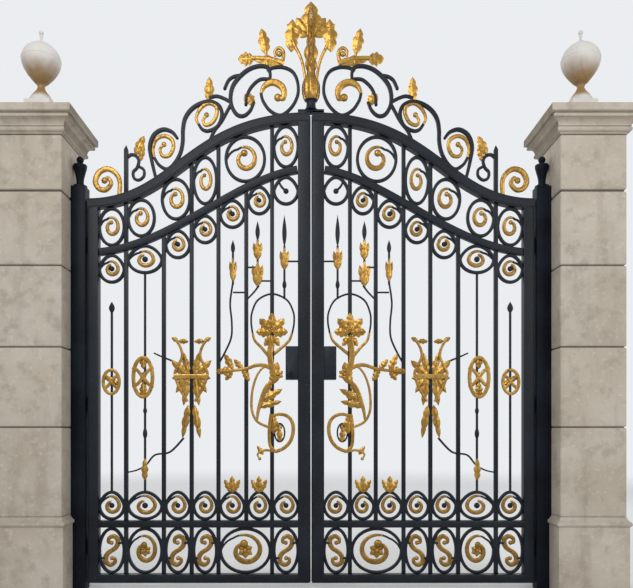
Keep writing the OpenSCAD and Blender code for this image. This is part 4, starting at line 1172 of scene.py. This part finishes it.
GREAT_C = scroll([
    (432, 138), (460, 86), (508, 62), (560, 91), (598, 167), (608, 246), (588, 322), (530, 375),
    (460, 403), (385, 403), (325, 376), (308, 315), (322, 262),
])
GREAT_VOLUTE = scroll([
    (330, 351), (290, 370), (212, 363), (140, 323), (102, 244), (100, 146), (146, 56), (227, 3),
    (310, 50), (363, 134), (378, 195),
])
INNER_ARC = scroll([(492, 142), (485, 199), (460, 251), (415, 289), (370, 301), (300, 284)])
HOOK = scroll([(652, 328), (622, 377), (578, 387), (530, 375)])
LONG_S = scroll([
    (850, 174), (820, 114), (772, 74), (703, 72), (673, 140), (696, 220), (764, 289), (840, 321),
    (908, 323), (953, 287), (968, 215), (970, 126), (988, 55), (1032, 10), (1088, 8), (1150, 84),
    (1185, 163),
])
UPPER_TIE = scroll([(606, 203), (660, 258), (718, 305), (772, 320)])
LOWER_TIE = scroll([(606, 187), (636, 144), (675, 93), (732, 48), (775, -26)])
ARCH_SCROLL = scroll([
    (1165, -41), (1205, 155), (1218, 268), (1187, 334), (1120, 330), (1052, 263), (1012, 187),
])
SPIKE_SCROLL = scroll([
    (1396, 262), (1362, 277), (1325, 253), (1302, 204), (1316, 158), (1344, 139), (1338, 91),
    (1301, 59), (1264, 70), (1264, 116), (1294, 154),
])
GREAT_EYE = scroll([(378, 195), (352, 244), (292, 262), (232, 230), (204, 180), (212, 128), (250, 140)])
UPPER_EYE = scroll([
    (850, 174), (868, 232), (838, 282), (778, 286), (722, 232), (712, 170), (744, 122), (796, 132),
    (816, 180), (790, 206),
])
LOWER_EYE = scroll([
    (1185, 165), (1194, 232), (1170, 288), (1112, 276), (1054, 208), (1040, 140), (1070, 100),
    (1122, 132), (1142, 196), (1112, 212),
])
POST_COMMA = scroll([
    (1452, -21), (1446, 95), (1470, 165), (1530, 218), (1598, 205), (1630, 140), (1606, 82), (1553, 64),
    (1512, 104), (1534, 150), (1562, 136),
])
CREST_CURL = scroll([(222, 396), (208, 440), (211, 488), (242, 514), (272, 494), (270, 456)])
LEAF_STEM = scroll([(452, 482), (370, 458), (290, 432), (205, 392)])
TALL_STEM = scroll([(328, 374), (334, 440), (346, 530)])
CREST_EYE = (on_rail((240, 468)), 22)
CREST_LEAVES = [
    ((338, 484), (374, 684), 92), ((428, 468), (552, 508), 112), ((206, 390), (446, 480), 86),
    ((770, 291), (768, 478), 80), ((1328, 262), (1262, 372), 74), ((1300, 196), (1262, 300), 52),
    ((500, 225), (430, 122), 92),
]


def cresting():
    thin = SCROLL_T - 2
    iron = [tapered(line, thin, thin, GREAT_T - thin) for line in (GREAT_C, LONG_S, ARCH_SCROLL)]
    iron += [even(line, SCROLL_T) for line in (GREAT_VOLUTE, INNER_ARC, HOOK, UPPER_TIE, LOWER_TIE)]
    iron.append(tapered(SPIKE_SCROLL, SCROLL_T, SCROLL_T - 4))
    ends = [
        (INNER_ARC[0], 13), (GREAT_C[0], 12), (SPIKE_SCROLL[-1], 11), (HOOK[0], 13),
        (ARCH_SCROLL[-1], 12),
    ]
    parts = [pressed(forged(iron, GREAT_BAR), CREST_IRON)]
    parts += [ball(*p, r, 1.05, 16) for p, r in ends]
    both_halves(parts, "cresting_scrolls", "cresting", "iron")
    fat = [
        comma(GREAT_EYE, 22, 30, 30, 26), comma(UPPER_EYE, 20, 20, 20, 10),
        comma(LOWER_EYE, 20, 20, 20, 10), comma(POST_COMMA, 30, 26, 24, 12),
    ]
    bars = [bar for bar, _ in fat]
    bars += [tapered(CREST_CURL, 30, 20), tapered(LEAF_STEM, 30, 40), tapered(TALL_STEM, 26, 20)]
    leaves = [leaf(on_rail(foot), on_rail(tip), w, 3, rise=8, rim=3) for foot, tip, w in CREST_LEAVES]
    parts = [gilt_band(bars, CREST_GILT)] + eyes([eye for _, eye in fat] + [CREST_EYE])
    both_halves(parts + leaves, "gilded_cresting", "cresting_leaves", "gilt", angle=55)


# Finial over the meeting stiles, on the left leaf

FINIAL_STEM = [
    (58, 0), (40, 22), (36, 60), (56, 86), (68, 118), (70, 160), (68, 198), (56, 236), (36, 268),
    (31, 312), (29, 368), (27, 425), (24, 500), (24, 600), (30, 680), (20, 760), (0, 790),
]
FINIAL_ARM = [(44, 240), (56, 320), (72, 385), (94, 440), (122, 492), (142, 545)]
# The plate under the stem stands free over the right leaf. The gilding starts over the iron foot.
PLATE_GAP, PLATE_T, GILT_FOOT = 7, 14, 80
# The stem's lobes: their number and depth, and the radius from which they fade in
STEM_LOBES, STEM_CUT, FADE = 8, 0.10, 0.03
# Leaves: foot, tip, width, lobes and rise. Those off the middle stand on both sides, and the crown's
# are repeated across.
SIDE_LEAVES = [((150, 448), (140, 694), 114, 3, 12)]
CROWN_LEAVES = [
    ((18, 566), (182, 656), 94, 3, 10), ((0, 548), (0, 826), 164, 3, 14),
    ((20, 590), (112, 704), 92, 2, 9), ((0, 262), (0, 612), 110, 3, 22),
]


def standing_leaves(leaves, z0):
    return [
        leaf((k * foot[0], z0 + foot[1]), (k * tip[0], z0 + tip[1]), w, lobes, rise=rise)
        for foot, tip, w, lobes, rise in leaves for k in ((-1, 1) if foot[0] else (1,))
    ]


def finial():
    z0 = CROWN_H + PLATE_GAP + PLATE_T
    outline = smooth(FINIAL_STEM, 4)
    split = next(i for i, p in enumerate(outline) if p[1] >= GILT_FOOT)
    y = FRAME_D / 2
    foot = [
        block(-MEET_OUT, MEET_OUT, CROWN_H + PLATE_GAP, z0, y, 3),
        block(-MEET_OUT, -MEET_IN, CROWN_H - 20, CROWN_H + PLATE_GAP + 2, y, 2, 1),
        turned([(0, 0)] + outline[:split] + [(0, outline[split - 1][1])], 0, z0),
    ]
    cup = turned([(0, outline[split - 1][1])] + outline[split - 1:], 0, z0, 64)
    for v in cup.data.vertices:
        r, a = math.hypot(v.co.x, v.co.y), math.atan2(v.co.y, v.co.x)
        cut = 0.5 - 0.5 * math.cos(STEM_LOBES * a)
        lobe = 1 - STEM_CUT * cut * min(1.0, max(0.0, (r - FADE) / FADE))
        v.co.x, v.co.y = v.co.x * lobe, v.co.y * lobe
    arm = smooth(FINIAL_ARM)
    arms = [tapered([(k * x, z + z0) for x, z in arm], 22, 26) for k in (-1, 1)]
    gilt = [cup, gilt_band(arms, CREST_GILT)] + standing_leaves(SIDE_LEAVES, z0)
    for turn in (0, 90):
        crown = standing_leaves(CROWN_LEAVES, z0)
        for part in crown:
            part.data.transform(Matrix.Rotation(math.radians(turn), 4, "Z"))
        gilt += crown
    for parts, name, node, finish in (
        (foot, "finial_foot", None, "iron"), (gilt, "gilded_finial", "centre_finial", "gilt"),
    ):
        piece = joined(parts)
        piece.data.transform(Matrix.Translation((GATE_X, 0, 0)))
        finish_piece(piece, name, "left_leaf", node, *FINISHES[finish], 50)


# Floor, light and camera

# The street view: the picture's width and height and the point of the horizon over the gate's middle,
# in picture points, with the focal length that fits, and the camera's place before the gate in metres
PICTURE_W, PICTURE_H, ACROSS, DOWN, FOCAL = 633, 588, 311, 430, 687.5
AWAY, EYE_LEVEL = 5.2, 1.2
# Lamps: place, aim, power and size
LAMPS = {
    "key": ((-0.6, -6.8, 7.2), (2.0, 0, 2.2), 325, 4.0),
    "fill": ((8.0, -6.4, 4.6), (2.0, 0, 2.0), 210, 4.5),
    "back_left": ((-3.5, 6.0, 6.0), (2.0, 0, 2.4), 170, 3.5),
    "back_right": ((7.5, 6.0, 6.0), (2.0, 0, 2.4), 170, 3.5),
}


def pale_floor():
    f = Finish("pale_floor")
    colour = f.mix(f.noise(1.1, 3), (0.800, 0.795, 0.785), (0.840, 0.835, 0.825))
    # The floor thins out into the background a few metres behind the gate
    away = f.node("ShaderNodeVectorMath", {"operation": "LENGTH"}, {0: f.place()}, output="Value")
    finish = f.done(Base_Color=colour, Roughness=0.9, Alpha=1 - away.between(5.0, 17.0))
    pick()
    bpy.ops.mesh.primitive_plane_add(size=160, location=(GATE_X, 0, 0))
    floor = bpy.context.object
    floor.name = "pale_floor"
    floor.data.materials.append(finish)


def studio_light():
    """Pale background to what the camera sees, also in metal, and softer light on the gate."""
    f = Finish("studio", bpy.data.worlds)
    camera, glossy, through = (
        f.node("ShaderNodeLightPath", output=f"Is {kind} Ray")
        for kind in ("Camera", "Glossy", "Transmission")
    )
    light = f.node("ShaderNodeBackground", {}, {"Color": (0.93, 0.96, 1.0, 1), "Strength": 0.52})
    pale = f.node("ShaderNodeBackground", {}, {"Color": (0.83, 0.85, 0.87, 1), "Strength": 1.0})
    seen = (camera + glossy + through).clamped()
    picked = f.node("ShaderNodeMixShader", {}, {0: seen, 1: light, 2: pale})
    bpy.context.scene.world = f.ended("ShaderNodeOutputWorld", picked)
    for name, (place, aim, power, size) in LAMPS.items():
        lamp = bpy.data.lights.new(name, "AREA")
        lamp.energy, lamp.size = power, size
        holder = placed(name, lamp)
        holder.location = place
        holder.rotation_euler = (Vector(aim) - Vector(place)).to_track_quat("-Z", "Y").to_euler()


def street_view():
    scene = bpy.context.scene
    scene.view_settings.view_transform = "Standard"
    view = bpy.data.cameras.new("street_view")
    view.sensor_width = 36
    view.lens = view.sensor_width * FOCAL / PICTURE_W
    view.shift_x = (PICTURE_W / 2 - ACROSS) / PICTURE_W
    view.shift_y = (DOWN - PICTURE_H / 2) / PICTURE_W
    camera = placed("street_view", view)
    camera.location = (GATE_X, -AWAY, EYE_LEVEL)
    camera.rotation_euler = (math.radians(90), 0, 0)
    scene.camera = camera


piers()
frame_of_leaf()
bars()
rings()
slim_ironwork()
foliage()
cresting()
finial()
for made in SECTIONS:
    bpy.data.objects.remove(made)
pale_floor()
studio_light()
street_view()
